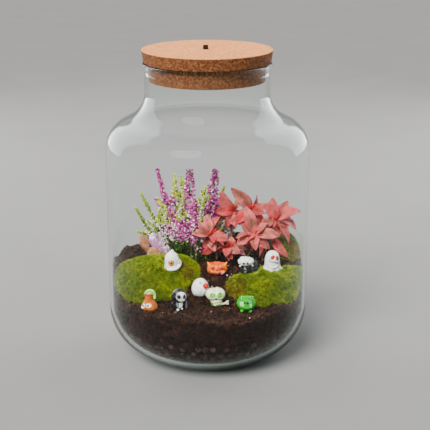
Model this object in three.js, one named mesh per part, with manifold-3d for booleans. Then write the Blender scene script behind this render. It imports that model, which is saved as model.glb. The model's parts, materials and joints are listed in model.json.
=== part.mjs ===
// A closed jar garden: a round-shouldered glass jar with a cork lid, holding a bed of clay
// pebbles, a slope of dark soil, three moss cushions, a flowering heather, a pink-leaved
// shrub, a crystal, two stones and nine small painted figures.
// Millimetres, +Z up. The origin is the centre of the jar's underside. The soil rises
// towards +Y, and the figures face -Y.
import * as THREE from 'three';
import { mergeVertices } from 'three/addons/utils/BufferGeometryUtils.js';
import Module from 'manifold-3d';

const wasm = await Module();
wasm.setup();

// ---- Driving dimensions ----

const GAP = 0.3; // clear space between neighbouring pieces
const SEAT_MARGIN = 0.45; // the same round a seat or a hole, whose flat sides cut inwards
const SIDES = 32; // facets round the jar, its lid and its filling

const BODY_RADIUS = 97.5;
const GLASS_WALL = 3;
const GLASS_FLOOR = 5;
const HEEL_RADIUS = 49; // round corner between the underside and the wall
const HEEL_STEPS = 5;
const WALL_TOP = 205.5;
const SHOULDER_RADIUS = 30.1;
const SHOULDER_TURN = 1.133; // radians that the shoulder turns in from the wall
const SHOULDER_SLOPE = 5.2; // straight stretch between the shoulder and the throat
const THROAT_RADIUS = 27.8;
const RIM_TOP = 288;
const LIP_RADIUS = 61;
const LIP_HEIGHT = 3.5;

const LID_TOP_RADIUS = 61.6;
const LID_EDGE_RADIUS = 60;
const LID_THICKNESS = 12;
const PLUG_DEPTH = 17;
const PLUG_TAPER = 1.5;

const BLOCK_SIZE = 4.9;
const BLOCK_HEIGHT = 5.5;
const BLOCK_DEPTH = 2; // how far the block sits in the cork
const BLOCK_OFFSET = -1.5;

const PEBBLE_TOP = 30;
const BED_INSET = 5; // how far the bed's core lies inside the round heel, behind its pebbles
const PEBBLE_RADIUS = 6;
const PEBBLE_ROWS = [
  { count: 11, height: 14.5 },
  { count: 18, height: 23 },
];

const SOIL_FRONT = 62;
const SOIL_RISE = 28;
const SLOPE_FROM = -58;
const SLOPE_TO = 28;
const SOIL_RINGS = [84, 71, 57, 43, 28, 14];
const SOIL_LUMPS = 16; // lumps round the soil's rim and wall
const RIM_LUMP = 1.1; // height
const WALL_DENT = 1.6; // how far the soil's wall stands back from the glass between its lumps
const CRUMB_COUNT = 6;

const MOSS_SETBACK = 0.5; // how much further inside the glass the moss lies than the soil
const MOSS_HUMP = 1.5;
const MOSS_REAR_RISE = 0.2; // how much fuller a cushion is towards the back
const MOSS_SINK = 3; // how far a cushion's rim goes into the soil before the soil cuts it
const STEM_BURIED = 8;
const HEATHER_STEM = 0.7; // radius
const SHRUB_STEM = 1; // radius
const LEAF_THICKNESS = 0.7;
const FIGURE_SIDES = 9; // facets round a figure
const SEAT_SIDES = 12;
const SEAT_HEIGHT = 40; // how far up the ground is cleared above a seat

const ROOM_RADIUS = BODY_RADIUS - GLASS_WALL - GAP; // what stands in the jar stays inside this
const NECK_BOTTOM =
  WALL_TOP
  + (SHOULDER_RADIUS + THROAT_RADIUS) * Math.sin(SHOULDER_TURN)
  + SHOULDER_SLOPE * Math.cos(SHOULDER_TURN);
const NECK_RADIUS =
  BODY_RADIUS
  - (SHOULDER_RADIUS + THROAT_RADIUS) * (1 - Math.cos(SHOULDER_TURN))
  - SHOULDER_SLOPE * Math.sin(SHOULDER_TURN);

// ---- Materials ----

function finish(color, roughness, metalness = 0) {
  return new THREE.MeshStandardMaterial({ color, roughness, metalness });
}

const clearGlass = new THREE.MeshStandardMaterial({
  color: 0xdfe8e6,
  roughness: 0.05,
  transparent: true,
  opacity: 0.35,
});
const cork = finish(0xc89468, 0.85);
const blackPlastic = finish(0x141414, 0.4);
const firedClay = finish(0x6e4130, 0.9);
const darkSoil = finish(0x3a2a20, 0.95);
const moss = finish(0x6f8a24, 0.95);
const pinkBloom = finish(0xb86aa4, 0.8);
const limeShoot = finish(0xa9c04a, 0.8);
const whiteBloom = finish(0xdfe0c8, 0.8);
const greenShoot = finish(0x4f7030, 0.8);
const pinkLeaf = finish(0xc9776f, 0.6);
const lilacCrystal = finish(0xb9a4bf, 0.3);
const tanStone = finish(0xc9a583, 0.8);
const whitePaint = finish(0xeeeeea, 0.4);
const orangePaint = finish(0xe2571a, 0.4);
const blackPaint = finish(0x1b1b1d, 0.4);
const greenPaint = finish(0x46b02c, 0.4);
const creamPaint = finish(0xe4e3c0, 0.5);

// ---- Shared helpers ----

// A repeatable source of numbers from 0 to 1.
function randomFrom(seed) {
  let state = seed;
  return () => {
    state = (state * 1664525 + 1013904223) % 4294967296;
    return state / 4294967296;
  };
}

function mix(from, to, share) {
  return from + (to - from) * share;
}

function smoothStep(from, to, value) {
  const share = THREE.MathUtils.clamp((value - from) / (to - from), 0, 1);
  return share * share * (3 - 2 * share);
}

// A round swell, 1 at its middle and fading over its spread.
function swell(x, y, middleX, middleY, spread) {
  return Math.exp(-((x - middleX) ** 2 + (y - middleY) ** 2) / (2 * spread ** 2));
}

// A closed three.js geometry as a solid that can be joined and cut.
function solidOf(geometry) {
  const bare = geometry.clone();
  bare.deleteAttribute('normal');
  bare.deleteAttribute('uv');
  const merged = mergeVertices(bare, 1e-4);
  const corners = merged.index.array;
  const triangles = [];
  for (let i = 0; i < corners.length; i += 3) {
    const [a, b, c] = corners.slice(i, i + 3);
    if (a !== b && b !== c && c !== a) {
      triangles.push(a, b, c);
    }
  }
  return new wasm.Manifold(new wasm.Mesh({
    numProp: 3,
    vertProperties: merged.attributes.position.array,
    triVerts: new Uint32Array(triangles),
  }));
}

function join(solids) {
  return solids.reduce((whole, piece) => whole.add(piece));
}

const terrarium = new THREE.Group();

function addPiece(name, solid, material) {
  const { vertProperties, triVerts } = solid.getMesh();
  const geometry = new THREE.BufferGeometry();
  geometry.setAttribute('position', new THREE.BufferAttribute(vertProperties, 3));
  geometry.setIndex(new THREE.BufferAttribute(triVerts, 1));
  geometry.computeVertexNormals();
  const mesh = new THREE.Mesh(geometry, material);
  mesh.name = name;
  terrarium.add(mesh);
  return mesh;
}

// A turned solid from an outline of [radius, height] points that starts and ends on the axis.
function turned(outline, sides = SIDES) {
  const points = outline.map(([radius, height]) => new THREE.Vector2(radius, height));
  return new THREE.LatheGeometry(points, sides).rotateX(Math.PI / 2);
}

function arcPoints(middleRadius, middleHeight, radius, from, to, steps) {
  const points = [];
  for (let i = 0; i <= steps; i += 1) {
    const angle = mix(from, to, i / steps);
    points.push([middleRadius + radius * Math.cos(angle), middleHeight + radius * Math.sin(angle)]);
  }
  return points;
}

// A closed body through rings with equally many points, fanned shut at both ends.
function loft(rings, firstPoint, lastPoint) {
  const count = rings[0].length;
  const positions = [firstPoint, ...rings.flat(), lastPoint].flatMap((point) => point.toArray());
  const last = rings.length * count + 1;
  const index = [];
  for (let i = 0; i < count; i += 1) {
    const next = (i + 1) % count;
    index.push(0, 1 + next, 1 + i);
    for (let ring = 0; ring < rings.length - 1; ring += 1) {
      const low = 1 + ring * count;
      const high = low + count;
      index.push(low + i, low + next, high + next);
      index.push(low + i, high + next, high + i);
    }
    index.push(last, last - count + i, last - count + next);
  }
  const geometry = new THREE.BufferGeometry();
  geometry.setAttribute('position', new THREE.Float32BufferAttribute(positions, 3));
  geometry.setIndex(index);
  return geometry;
}

// An upright prism, used to cut holes and seats.
function post(x, y, radius, bottom, top, sides) {
  const geometry = new THREE.CylinderGeometry(radius, radius, top - bottom, sides);
  return solidOf(geometry.rotateX(Math.PI / 2).translate(x, y, (bottom + top) / 2));
}

// A rod with a flat-sided section that follows a curve through the points.
function rod(points, radius, steps, sides = 5) {
  const section = new THREE.Shape();
  for (let i = 0; i < sides; i += 1) {
    const angle = (2 * Math.PI * i) / sides;
    const corner = [radius * Math.cos(angle), radius * Math.sin(angle)];
    if (i === 0) {
      section.moveTo(...corner);
    } else {
      section.lineTo(...corner);
    }
  }
  section.closePath();
  const extrudePath = new THREE.CatmullRomCurve3(points);
  return solidOf(new THREE.ExtrudeGeometry(section, { steps, extrudePath, bevelEnabled: false }));
}

// ---- Glass jar ----

const heelCentre = [BODY_RADIUS - HEEL_RADIUS, HEEL_RADIUS];
const roomHeelCentre = [heelCentre[0], GLASS_FLOOR + HEEL_RADIUS - GLASS_WALL];
const shoulderCentre = [BODY_RADIUS - SHOULDER_RADIUS, WALL_TOP];
const throatCentre = [NECK_RADIUS + THROAT_RADIUS, NECK_BOTTOM];

const roomHeel = arcPoints(...roomHeelCentre, HEEL_RADIUS - GLASS_WALL, -Math.PI / 2, 0, HEEL_STEPS);

// The radius of the faceted inside of the jar at a height below the shoulder.
function roomRadius(height) {
  const above = roomHeel.findIndex(([, level]) => level > height);
  if (above < 0) {
    return BODY_RADIUS - GLASS_WALL;
  }
  const [lowRadius, low] = roomHeel[above - 1];
  const [highRadius, high] = roomHeel[above];
  return mix(lowRadius, highRadius, (height - low) / (high - low));
}

// How far out a ball of a radius at a height can lie in the round heel.
function ballReach(height, radius) {
  const heelChordDepth = 0.9;
  const reach = HEEL_RADIUS - GLASS_WALL - radius - GAP - heelChordDepth;
  return roomHeelCentre[0] + Math.sqrt(reach ** 2 - (roomHeelCentre[1] - height) ** 2);
}

function jar() {
  const outside = [
    [0, 0],
    ...arcPoints(...heelCentre, HEEL_RADIUS, -Math.PI / 2, 0, HEEL_STEPS),
    ...arcPoints(...shoulderCentre, SHOULDER_RADIUS, 0, SHOULDER_TURN, 3),
    ...arcPoints(...throatCentre, THROAT_RADIUS, Math.PI + SHOULDER_TURN, Math.PI, 3),
    [NECK_RADIUS, RIM_TOP - LIP_HEIGHT],
    [LIP_RADIUS, RIM_TOP - LIP_HEIGHT + 1.2],
    [LIP_RADIUS, RIM_TOP - 1],
    [LIP_RADIUS - 1, RIM_TOP],
  ];
  const inside = [
    [NECK_RADIUS - GLASS_WALL, RIM_TOP],
    ...arcPoints(...throatCentre, THROAT_RADIUS + GLASS_WALL, Math.PI, Math.PI + SHOULDER_TURN, 3),
    ...arcPoints(...shoulderCentre, SHOULDER_RADIUS - GLASS_WALL, SHOULDER_TURN, 0, 3),
    ...roomHeel.toReversed(),
    [0, GLASS_FLOOR],
  ];
  return solidOf(turned([...outside, ...inside]));
}

addPiece('glass_jar', jar(), clearGlass);

// ---- Cork lid and the small block on it ----

const lidTop = RIM_TOP + LID_THICKNESS;
const plugRadius = NECK_RADIUS - GLASS_WALL - GAP;

function lid() {
  const outline = [
    [0, RIM_TOP - PLUG_DEPTH],
    [plugRadius - PLUG_TAPER - 0.8, RIM_TOP - PLUG_DEPTH],
    [plugRadius - PLUG_TAPER, RIM_TOP - PLUG_DEPTH + 0.8],
    [plugRadius, RIM_TOP],
    [LID_EDGE_RADIUS, RIM_TOP],
    [LID_TOP_RADIUS, lidTop - 0.7],
    [LID_TOP_RADIUS - 0.7, lidTop],
    [0, lidTop],
  ];
  const width = BLOCK_SIZE + 2 * GAP;
  const recess = new THREE.BoxGeometry(width, width, 2 * BLOCK_DEPTH).translate(BLOCK_OFFSET, 0, lidTop);
  return solidOf(turned(outline)).subtract(solidOf(recess));
}

function lidBlock() {
  const box = new THREE.BoxGeometry(BLOCK_SIZE, BLOCK_SIZE, BLOCK_HEIGHT);
  return solidOf(box.translate(BLOCK_OFFSET, 0, lidTop - BLOCK_DEPTH + BLOCK_HEIGHT / 2));
}

addPiece('cork_lid', lid(), cork);
addPiece('lid_block', lidBlock(), blackPlastic);

// ---- Clay pebbles ----

// A bed with its outer pebbles standing out of it against the glass.
function pebbles() {
  const random = randomFrom(11);
  const side = HEEL_RADIUS - GLASS_WALL - BED_INSET;
  const topAngle = -Math.asin((roomHeelCentre[1] - PEBBLE_TOP) / side);
  const solids = [solidOf(turned([
    [0, GLASS_FLOOR + GAP],
    [roomHeelCentre[0], GLASS_FLOOR + GAP],
    ...arcPoints(...roomHeelCentre, side, -1.1, topAngle, 2),
    [0, PEBBLE_TOP],
  ]))];
  for (const row of PEBBLE_ROWS) {
    for (let i = 0; i < row.count; i += 1) {
      const radius = PEBBLE_RADIUS * mix(0.8, 1, random());
      const height = row.height + mix(-0.8, 0.8, random());
      const angle = (2 * Math.PI * (i + 0.3 * random())) / row.count;
      const reach = ballReach(height, radius);
      const ball = new THREE.IcosahedronGeometry(radius, 0);
      ball.rotateX(6 * random()).rotateZ(6 * random());
      ball.translate(reach * Math.cos(angle), reach * Math.sin(angle), height);
      solids.push(solidOf(ball));
    }
  }
  return join(solids);
}

addPiece('clay_pebbles', pebbles(), firedClay);

// ---- The lie of the ground ----

function soilHeight(x, y) {
  const slope = SOIL_FRONT + SOIL_RISE * smoothStep(SLOPE_FROM, SLOPE_TO, y);
  const edges =
    3 * swell(x, y, -30, -85, 25)
    - 4 * swell(x, y, 22, -90, 22)
    + 7 * swell(x, y, -96, -4, 16)
    + 8 * swell(x, y, 94, 10, 22);
  const waves = 0.9 * Math.sin(x / 5.6 + y / 11) + 0.8 * Math.sin(y / 5.4 - x / 12);
  const rim = RIM_LUMP * Math.cos(SOIL_LUMPS * Math.atan2(y, x)) * smoothStep(66, 90, Math.hypot(x, y));
  return slope + edges + waves + rim;
}

const MOSS_CUSHIONS = [
  { name: 'moss_left', middle: [-50.5, -16], reach: [42, 28], turn: 0.35, height: 15, seed: -0.2, detail: 4 },
  { name: 'moss_right', middle: [59.5, -25.5], reach: [44, 21.5], turn: 0.05, height: 10.5, seed: 1.6, detail: 4 },
  { name: 'moss_rear', middle: [78, 23], reach: [24, 14], turn: 1.75, height: 13, seed: 4.1, detail: 3 },
];

// How far a cushion's edge is from its middle, in the direction of an angle.
function mossReach(cushion, angle) {
  const turnedAngle = angle - cushion.turn;
  const [long, short] = cushion.reach;
  const oval = 1 / Math.hypot(Math.cos(turnedAngle) / long, Math.sin(turnedAngle) / short);
  return oval * (1 + 0.05 * Math.sin(3 * angle + cushion.seed) + 0.03 * Math.sin(5 * angle));
}

// The share of the way from a cushion's middle to its edge.
function mossShare(cushion, x, y) {
  const [middleX, middleY] = cushion.middle;
  const out = Math.hypot(x - middleX, y - middleY);
  return out / mossReach(cushion, Math.atan2(y - middleY, x - middleX));
}

function mossHeight(cushion, x, y) {
  const dome = cushion.height * Math.max(1 - mossShare(cushion, x, y) ** 2.3, 0) ** 0.7;
  const rearward = (y - cushion.middle[1]) / cushion.reach[1];
  return soilHeight(x, y) + dome * (1 + MOSS_REAR_RISE * rearward);
}

function groundHeight(x, y) {
  const tops = MOSS_CUSHIONS.map((cushion) => (
    mossShare(cushion, x, y) < 1 ? mossHeight(cushion, x, y) : 0
  ));
  return Math.max(soilHeight(x, y), ...tops);
}

// ---- What stands in the ground: places, worked out before the ground is cut ----

// Each spray: its kind, its foot on the ground, a bend and its tip.
const HEATHER = [
  { name: 'heather_pink_left', kind: 'pink', foot: [-27, 24], bend: [-40, 34, 136], tip: [-51, 43, 174] },
  { name: 'heather_pink_middle', kind: 'pink', foot: [-18.5, 24], bend: [-18, 29, 134], tip: [-18, 37, 175] },
  { name: 'heather_pink_right', kind: 'pink', foot: [-10, 24], bend: [3, 38, 136], tip: [8, 46, 173] },
  { name: 'heather_pink_low', kind: 'pink', foot: [-25, 16], bend: [-31, 17, 113], tip: [-38, 18, 136] },
  { name: 'heather_pink_front', kind: 'pink', foot: [-14.5, 14.5], bend: [-14, 15, 112], tip: [-11, 17, 127] },
  { name: 'heather_lime_left', kind: 'lime', foot: [-35, 18], bend: [-42, 21, 128], tip: [-49, 24, 148] },
  { name: 'heather_lime_middle', kind: 'lime', foot: [-22, 18], bend: [-27, 22, 132], tip: [-33, 29, 171] },
  { name: 'heather_lime_back', kind: 'lime', foot: [-22, 31], bend: [-24, 41, 134], tip: [-27, 50, 164] },
  { name: 'heather_lime_right', kind: 'lime', foot: [-10, 18], bend: [-6, 22, 132], tip: [-2, 26, 159] },
  { name: 'heather_lime_far', kind: 'lime', foot: [-3, 32], bend: [10, 44, 126], tip: [17, 52, 152] },
  { name: 'heather_white_left', kind: 'white', foot: [-38, 23], bend: [-53, 28, 124], tip: [-67, 31, 152] },
  { name: 'heather_white_low', kind: 'white', foot: [-39, 29], bend: [-59, 32, 113], tip: [-73, 31, 137] },
  { name: 'heather_white_front', kind: 'white', foot: [-35, 12.5], bend: [-40, 13, 111], tip: [-50, 12, 130] },
  { name: 'heather_white_far', kind: 'white', foot: [7, 40], bend: [22, 51, 118], tip: [30, 57, 139] },
  { name: 'heather_green_front', kind: 'green', foot: [-27, 11], bend: [-28.5, 9, 100], tip: [-31, 8, 110] },
  { name: 'heather_green_middle', kind: 'green', foot: [-20, 11], bend: [-21, 9, 98], tip: [-23, 7, 110] },
  { name: 'heather_green_right', kind: 'green', foot: [-4, 24], bend: [-1, 23, 100], tip: [1, 23, 112] },
];

// How each kind of spray is dressed: where its whorls start, their spacing, how many buds
// they have, and how far a bud reaches out and along the stem.
const WHORLS = {
  pink: { from: 0.42, step: 5.6, buds: 4, reach: 4.4, lift: 0.3 },
  lime: { from: 0.54, step: 5.4, buds: 3, reach: 3.2, lift: 2.6 },
  white: { from: 0.42, step: 5.4, buds: 3, reach: 3.4, lift: 1.2 },
  green: { from: 0.42, step: 4.4, buds: 4, reach: 4, lift: 2.2 },
};

// Each leafy shoot: foot on the ground, a bend and the head its leaves spread from. A leaf
// is its tip and its width, and a low leaf also has the height it leaves the stem at.
const SHRUB = [
  {
    name: 'shrub_shoot_left',
    foot: [9, 13],
    bend: [7, 12, 101],
    head: [2, 10, 115],
    leaves: [
      { tip: [-9, 8, 129], width: 8 },
      { tip: [-1, 14, 135], width: 9 },
      { tip: [12, 15, 132], width: 8 },
      { tip: [-15, 4, 119], width: 8 },
      { tip: [21, 3, 111], width: 10 },
      { tip: [-6, 0, 98], width: 8, from: 105 },
      { tip: [7, -3, 102], width: 8, from: 107 },
    ],
  },
  {
    name: 'shrub_shoot_back',
    foot: [22, 31],
    bend: [24, 33, 112],
    head: [26, 34, 132],
    leaves: [
      { tip: [13, 32, 152], width: 11 },
      { tip: [7, 30, 133], width: 9 },
      { tip: [10, 38, 121], width: 9 },
      { tip: [37, 38, 145], width: 9 },
      { tip: [41, 30, 117], width: 11 },
      { tip: [19, 27, 115], width: 9 },
    ],
  },
  {
    name: 'shrub_shoot_middle',
    foot: [34, 21],
    bend: [40, 21, 116],
    head: [43, 20, 138],
    leaves: [
      { tip: [23, 24, 159], width: 11 },
      { tip: [49, 24, 152], width: 7 },
      { tip: [65, 18, 143], width: 9 },
      { tip: [57, 17, 122], width: 9 },
      { tip: [36, 28, 153], width: 8 },
      { tip: [27, 17, 127], width: 8 },
    ],
  },
  {
    name: 'shrub_shoot_right',
    foot: [55, 12],
    bend: [64, 9, 112],
    head: [67, 6, 132],
    leaves: [
      { tip: [64, 9, 153], width: 12 },
      { tip: [91, 0, 143], width: 11 },
      { tip: [88, 2, 122], width: 10 },
      { tip: [80, -3, 110], width: 9 },
      { tip: [52, 12, 127], width: 9 },
      { tip: [80, 12, 149], width: 9 },
      { tip: [80, -2, 95], width: 8, from: 112 },
    ],
  },
  {
    name: 'shrub_shoot_front',
    foot: [40, 11],
    bend: [44, 7, 102],
    head: [47, 4, 118],
    leaves: [
      { tip: [37, 8, 145], width: 11 },
      { tip: [28, 0, 108], width: 10 },
      { tip: [47, -9, 105], width: 9 },
      { tip: [62, -1, 104], width: 9 },
      { tip: [71, -6, 119], width: 10 },
      { tip: [33, 6, 127], width: 9 },
      { tip: [59, 1, 130], width: 8 },
    ],
  },
  {
    name: 'shrub_shoot_low',
    foot: [20, 14],
    bend: [20, 11, 96],
    head: [20, 9, 102],
    leaves: [
      { tip: [32, 2, 98], width: 9 },
      { tip: [18, -5, 97], width: 8 },
      { tip: [24, 14, 112], width: 7 },
    ],
  },
];

// Each figure: where it stands, which way it looks, and the round room that it needs.
const FIGURES = [
  { name: 'ghost_one_eye', place: [-35, -12], turn: 0.1, room: 8.6, build: ghostOneEye, paint: whitePaint },
  { name: 'pumpkin_cat', place: [9.4, -3.5], turn: 0, room: 11.4, build: pumpkinCat, paint: orangePaint },
  { name: 'cauldron_ghost', place: [38, -9.5], turn: 0.1, room: 13, build: cauldronGhost, paint: blackPaint },
  { name: 'ghost_grin', place: [63.2, -9.5], turn: 0.1, room: 9.6, build: ghostGrin, paint: whitePaint },
  { name: 'potion_flask', place: [-54.8, -55.5], turn: -0.2, room: 9.2, build: potionFlask, paint: orangePaint },
  { name: 'reaper', place: [-26.8, -61], turn: 0.1, room: 8.4, build: reaper, paint: blackPaint },
  { name: 'ghost_red_nose', place: [-7, -31], turn: 0.3, room: 9, build: ghostRedNose, paint: whitePaint },
  { name: 'skull_figure', place: [7.4, -46.5], turn: 0.1, room: 12.4, build: skullFigure, paint: creamPaint },
  { name: 'green_monster', place: [36.4, -54.5], turn: -0.1, room: 10, build: greenMonster, paint: greenPaint },
];

for (const figure of FIGURES) {
  const [x, y] = figure.place;
  figure.floor = groundHeight(x, y - 0.5 * figure.room) - 0.8;
}

// ---- Soil and moss ----

// A ring of points at one radius, level or following a surface.
function ringAt(middle, radiusAt, heightAt, count) {
  const points = [];
  for (let i = 0; i < count; i += 1) {
    const angle = -Math.PI / 2 + (2 * Math.PI * i) / count;
    const radius = radiusAt(angle);
    const x = middle[0] + radius * Math.cos(angle);
    const y = middle[1] + radius * Math.sin(angle);
    points.push(new THREE.Vector3(x, y, heightAt(x, y)));
  }
  return points;
}

// The soil's body: its wall goes in and out between lumps, and its top follows the slope.
// It is raised a little to cut what lies on it clear of it.
function soilBody(raise = 0) {
  const centre = [0, 0];
  const surface = (x, y) => soilHeight(x, y) + raise;
  const bottom = PEBBLE_TOP + GAP;
  const upright = roomHeelCentre[1];
  const curved = roomHeel.map(([, level]) => level).filter((level) => level > bottom && level <= upright);
  const wall = [bottom, ...curved].map((level) => () => level);
  for (const share of [1 / 3, 2 / 3, 1]) {
    wall.push((x, y) => mix(upright, surface(x, y), share));
  }
  const rings = wall.map((heightAt, row) => {
    const share = row / (wall.length - 1);
    const radius = roomRadius(Math.min(heightAt(0, 0), upright)) - GAP;
    const dent = (angle) => 0.5 * (1 - Math.cos(SOIL_LUMPS * angle + Math.PI * row));
    const inwards = WALL_DENT * Math.sin(Math.PI * share);
    return ringAt(centre, (angle) => radius - inwards * dent(angle), heightAt, SIDES);
  });
  for (const radius of SOIL_RINGS) {
    rings.push(ringAt(centre, () => radius, surface, SIDES));
  }
  const lowest = new THREE.Vector3(0, 0, bottom);
  const middle = new THREE.Vector3(0, 0, surface(0, 0));
  return solidOf(loft(rings, lowest, middle));
}

// Loose lumps on the soil, clear of the figures' seats. They are grown to cut what lies on them.
function crumbs(grow = 0) {
  const random = randomFrom(5);
  const lumps = [];
  while (lumps.length < CRUMB_COUNT) {
    const angle = 2 * Math.PI * random();
    const out = (ROOM_RADIUS - 7) * Math.sqrt(random());
    const x = out * Math.cos(angle);
    const y = out * Math.sin(angle);
    const size = mix(2.2, 3.8, random());
    const clear = FIGURES.every(({ place, room }) => Math.hypot(x - place[0], y - place[1]) > room + size + 1);
    if (clear) {
      const lump = new THREE.IcosahedronGeometry(size + 1.5 * grow, 0).scale(1, mix(0.7, 1, random()), 0.75);
      lump.rotateZ(6 * random()).rotateX(0.5 * random());
      lumps.push(solidOf(lump.translate(x, y, soilHeight(x, y) + 0.1 * size)));
    }
  }
  return lumps;
}

// The straight part of the jar's room, as a cutter a little smaller than the soil.
function room() {
  const radius = ROOM_RADIUS - MOSS_SETBACK;
  return solidOf(turned([[0, roomHeelCentre[1]], [radius, roomHeelCentre[1]], [radius, WALL_TOP], [0, WALL_TOP]]));
}

// A ball drawn out into a cushion: its upper half is the dome, raised in small humps, and
// its rim and lower half are sunk in the soil.
function mossBody(cushion) {
  const shell = new THREE.IcosahedronGeometry(1, cushion.detail);
  const points = shell.attributes.position;
  for (let i = 0; i < points.count; i += 1) {
    const angle = Math.atan2(points.getY(i), points.getX(i));
    const tilt = Math.acos(THREE.MathUtils.clamp(points.getZ(i), -1, 1)) / (Math.PI / 2);
    const share = Math.min(tilt, 2 - tilt);
    const reach = share * mossReach(cushion, angle);
    const x = cushion.middle[0] + reach * Math.cos(angle);
    const y = cushion.middle[1] + reach * Math.sin(angle);
    const hump = MOSS_HUMP * Math.sin(1.1 * x + cushion.seed) * Math.sin(1.3 * y - 0.5 * x);
    const dome = mossHeight(cushion, x, y) + hump - MOSS_SINK * smoothStep(0.86, 1, share);
    const belly = soilHeight(x, y) - MOSS_SINK * (3 - 2 * share);
    points.setXYZ(i, x, y, tilt < 1 ? dome : belly);
  }
  return solidOf(shell);
}

// The largest of the bodies that a cut leaves.
function largest(solid) {
  return solid.decompose().reduce((a, b) => (a.volume() > b.volume() ? a : b));
}

// ---- Stems ----

// A stem's line: straight up out of its hole, then through its bend to its end.
function stemLine(foot, bend, end) {
  const [x, y] = foot;
  const bottom = soilHeight(x, y) - STEM_BURIED;
  const ground = groundHeight(x, y);
  return [
    new THREE.Vector3(x, y, bottom),
    new THREE.Vector3(x, y, ground),
    new THREE.Vector3(x, y, ground + 4),
    new THREE.Vector3(...bend),
    new THREE.Vector3(...end),
  ];
}

function stemHole(foot, radius) {
  const bottom = soilHeight(...foot) - STEM_BURIED - GAP;
  const clearRadius = (radius + SEAT_MARGIN) / Math.cos(Math.PI / 6);
  return post(...foot, clearRadius, bottom, groundHeight(...foot) + 4, 6);
}

// ---- Stones and crystal ----

const STONES = [
  { name: 'stone_upper', middle: [-63.5, 24, 101], size: [4.6, 4.2, 11], lean: 0.35, seed: 0.4 },
  { name: 'stone_lower', middle: [-53.5, 13, 93.8], size: [7.2, 4.6, 7.2], lean: 0.2, seed: 1.9 },
];
const CRYSTAL = { foot: [-45, 23, 84], radius: 4.8, length: 31, lean: -0.42 };

// A worn stone; it is grown a little to cut its own seat.
function boulder({ middle, size, lean, seed }, grow = 0) {
  const stone = new THREE.IcosahedronGeometry(1, 1);
  const points = stone.attributes.position;
  const point = new THREE.Vector3();
  for (let i = 0; i < points.count; i += 1) {
    point.fromBufferAttribute(points, i);
    const dent = 1 + 0.1 * Math.sin(3 * point.x + seed) + 0.08 * Math.sin(4 * point.z - 2 * point.y + seed);
    points.setXYZ(i, ...point.multiplyScalar(dent).toArray());
  }
  stone.scale(...size.map((length) => length + grow));
  return solidOf(stone.rotateY(-lean).translate(...middle));
}

function crystal(grow = 0) {
  const radius = CRYSTAL.radius + grow;
  const outline = [[0, -grow], [radius, -grow], [radius, 0.8 * CRYSTAL.length], [0.5 * radius, CRYSTAL.length]];
  const prism = turned([...outline, [0, CRYSTAL.length + grow]], 6);
  return solidOf(prism.scale(1, 0.8, 1).rotateY(CRYSTAL.lean).translate(...CRYSTAL.foot));
}

// ---- The ground, cut for everything that stands in it ----

const seats = FIGURES.map(({ place, room: radius, floor }) => (
  post(...place, radius + SEAT_MARGIN, floor - GAP, floor + SEAT_HEIGHT, SEAT_SIDES)
));
const stemHoles = [
  ...HEATHER.map(({ foot }) => stemHole(foot, HEATHER_STEM)),
  ...SHRUB.map(({ foot }) => stemHole(foot, SHRUB_STEM)),
];
const stoneSeats = [crystal(SEAT_MARGIN), ...STONES.map((stone) => boulder(stone, SEAT_MARGIN + 0.1))];

function cutForContents(ground) {
  const cut = [...seats, ...stemHoles, ...stoneSeats].reduce((rest, cutter) => rest.subtract(cutter), ground);
  return largest(cut);
}

const bareSoil = join([soilBody(0), ...crumbs(0)]);
const soilMargin = join([soilBody(GAP), ...crumbs(GAP)]);

addPiece('soil', cutForContents(bareSoil), darkSoil);
for (const cushion of MOSS_CUSHIONS) {
  const body = mossBody(cushion).intersect(room()).subtract(soilMargin);
  addPiece(cushion.name, cutForContents(body), moss);
}
addPiece('crystal', crystal(), lilacCrystal);
for (const stone of STONES) {
  addPiece(stone.name, boulder(stone), tanStone);
}

// ---- Heather ----

const SPRAY_MATERIALS = { pink: pinkBloom, lime: limeShoot, white: whiteBloom, green: greenShoot };

// A stem whose whorls of buds are drawn out of its surface: at each whorl every other
// corner of the section reaches out into a bud, and the next whorl uses the corners between.
function spray({ kind, foot, bend, tip }) {
  const { from, step, buds, reach, lift } = WHORLS[kind];
  const line = stemLine(foot, bend, tip);
  const curve = new THREE.CatmullRomCurve3(line);
  const length = curve.getLength();
  const corners = 2 * buds;
  const rings = [];
  const addRing = (along, radiusAt, shift) => {
    const share = Math.min(along / length, 1);
    const middle = curve.getPointAt(share);
    const upwards = curve.getTangentAt(share);
    const sideways = new THREE.Vector3(0, -1, 0).cross(upwards).normalize();
    rings.push(Array.from({ length: corners }, (unused, i) => {
      const radius = radiusAt(i);
      const out = sideways.clone().applyAxisAngle(upwards, (2 * Math.PI * i) / corners);
      const shifted = middle.clone().addScaledVector(upwards, radius > HEATHER_STEM ? shift : 0);
      return shifted.addScaledVector(out, radius);
    }));
  };
  const bare = () => HEATHER_STEM;
  const start = from * length;
  for (const share of [0, 0.25, 0.5, 0.75]) {
    addRing(share * start, bare, 0);
  }
  let whorl = 0;
  for (let along = start; along < length - step; along += step) {
    const size = reach * mix(1, 0.6, smoothStep(0.6, 1, along / length));
    const parity = whorl % 2;
    addRing(along, bare, 0);
    addRing(along + step / 2, (i) => (i % 2 === parity ? size : HEATHER_STEM), lift);
    whorl += 1;
  }
  addRing(length - 1, bare, 0);
  return solidOf(loft(rings, curve.getPointAt(0), curve.getPointAt(1)));
}

for (const shape of HEATHER) {
  addPiece(shape.name, spray(shape), SPRAY_MATERIALS[shape.kind]);
}

// ---- Pink-leaved shrub ----

const LEAF_FACING = new THREE.Vector3(0, -0.75, 0.65); // where the leaves' upper faces look
const LEAF_STATIONS = [[0.34, 0.92], [0.7, 0.88]]; // share of length, share of width

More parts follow.
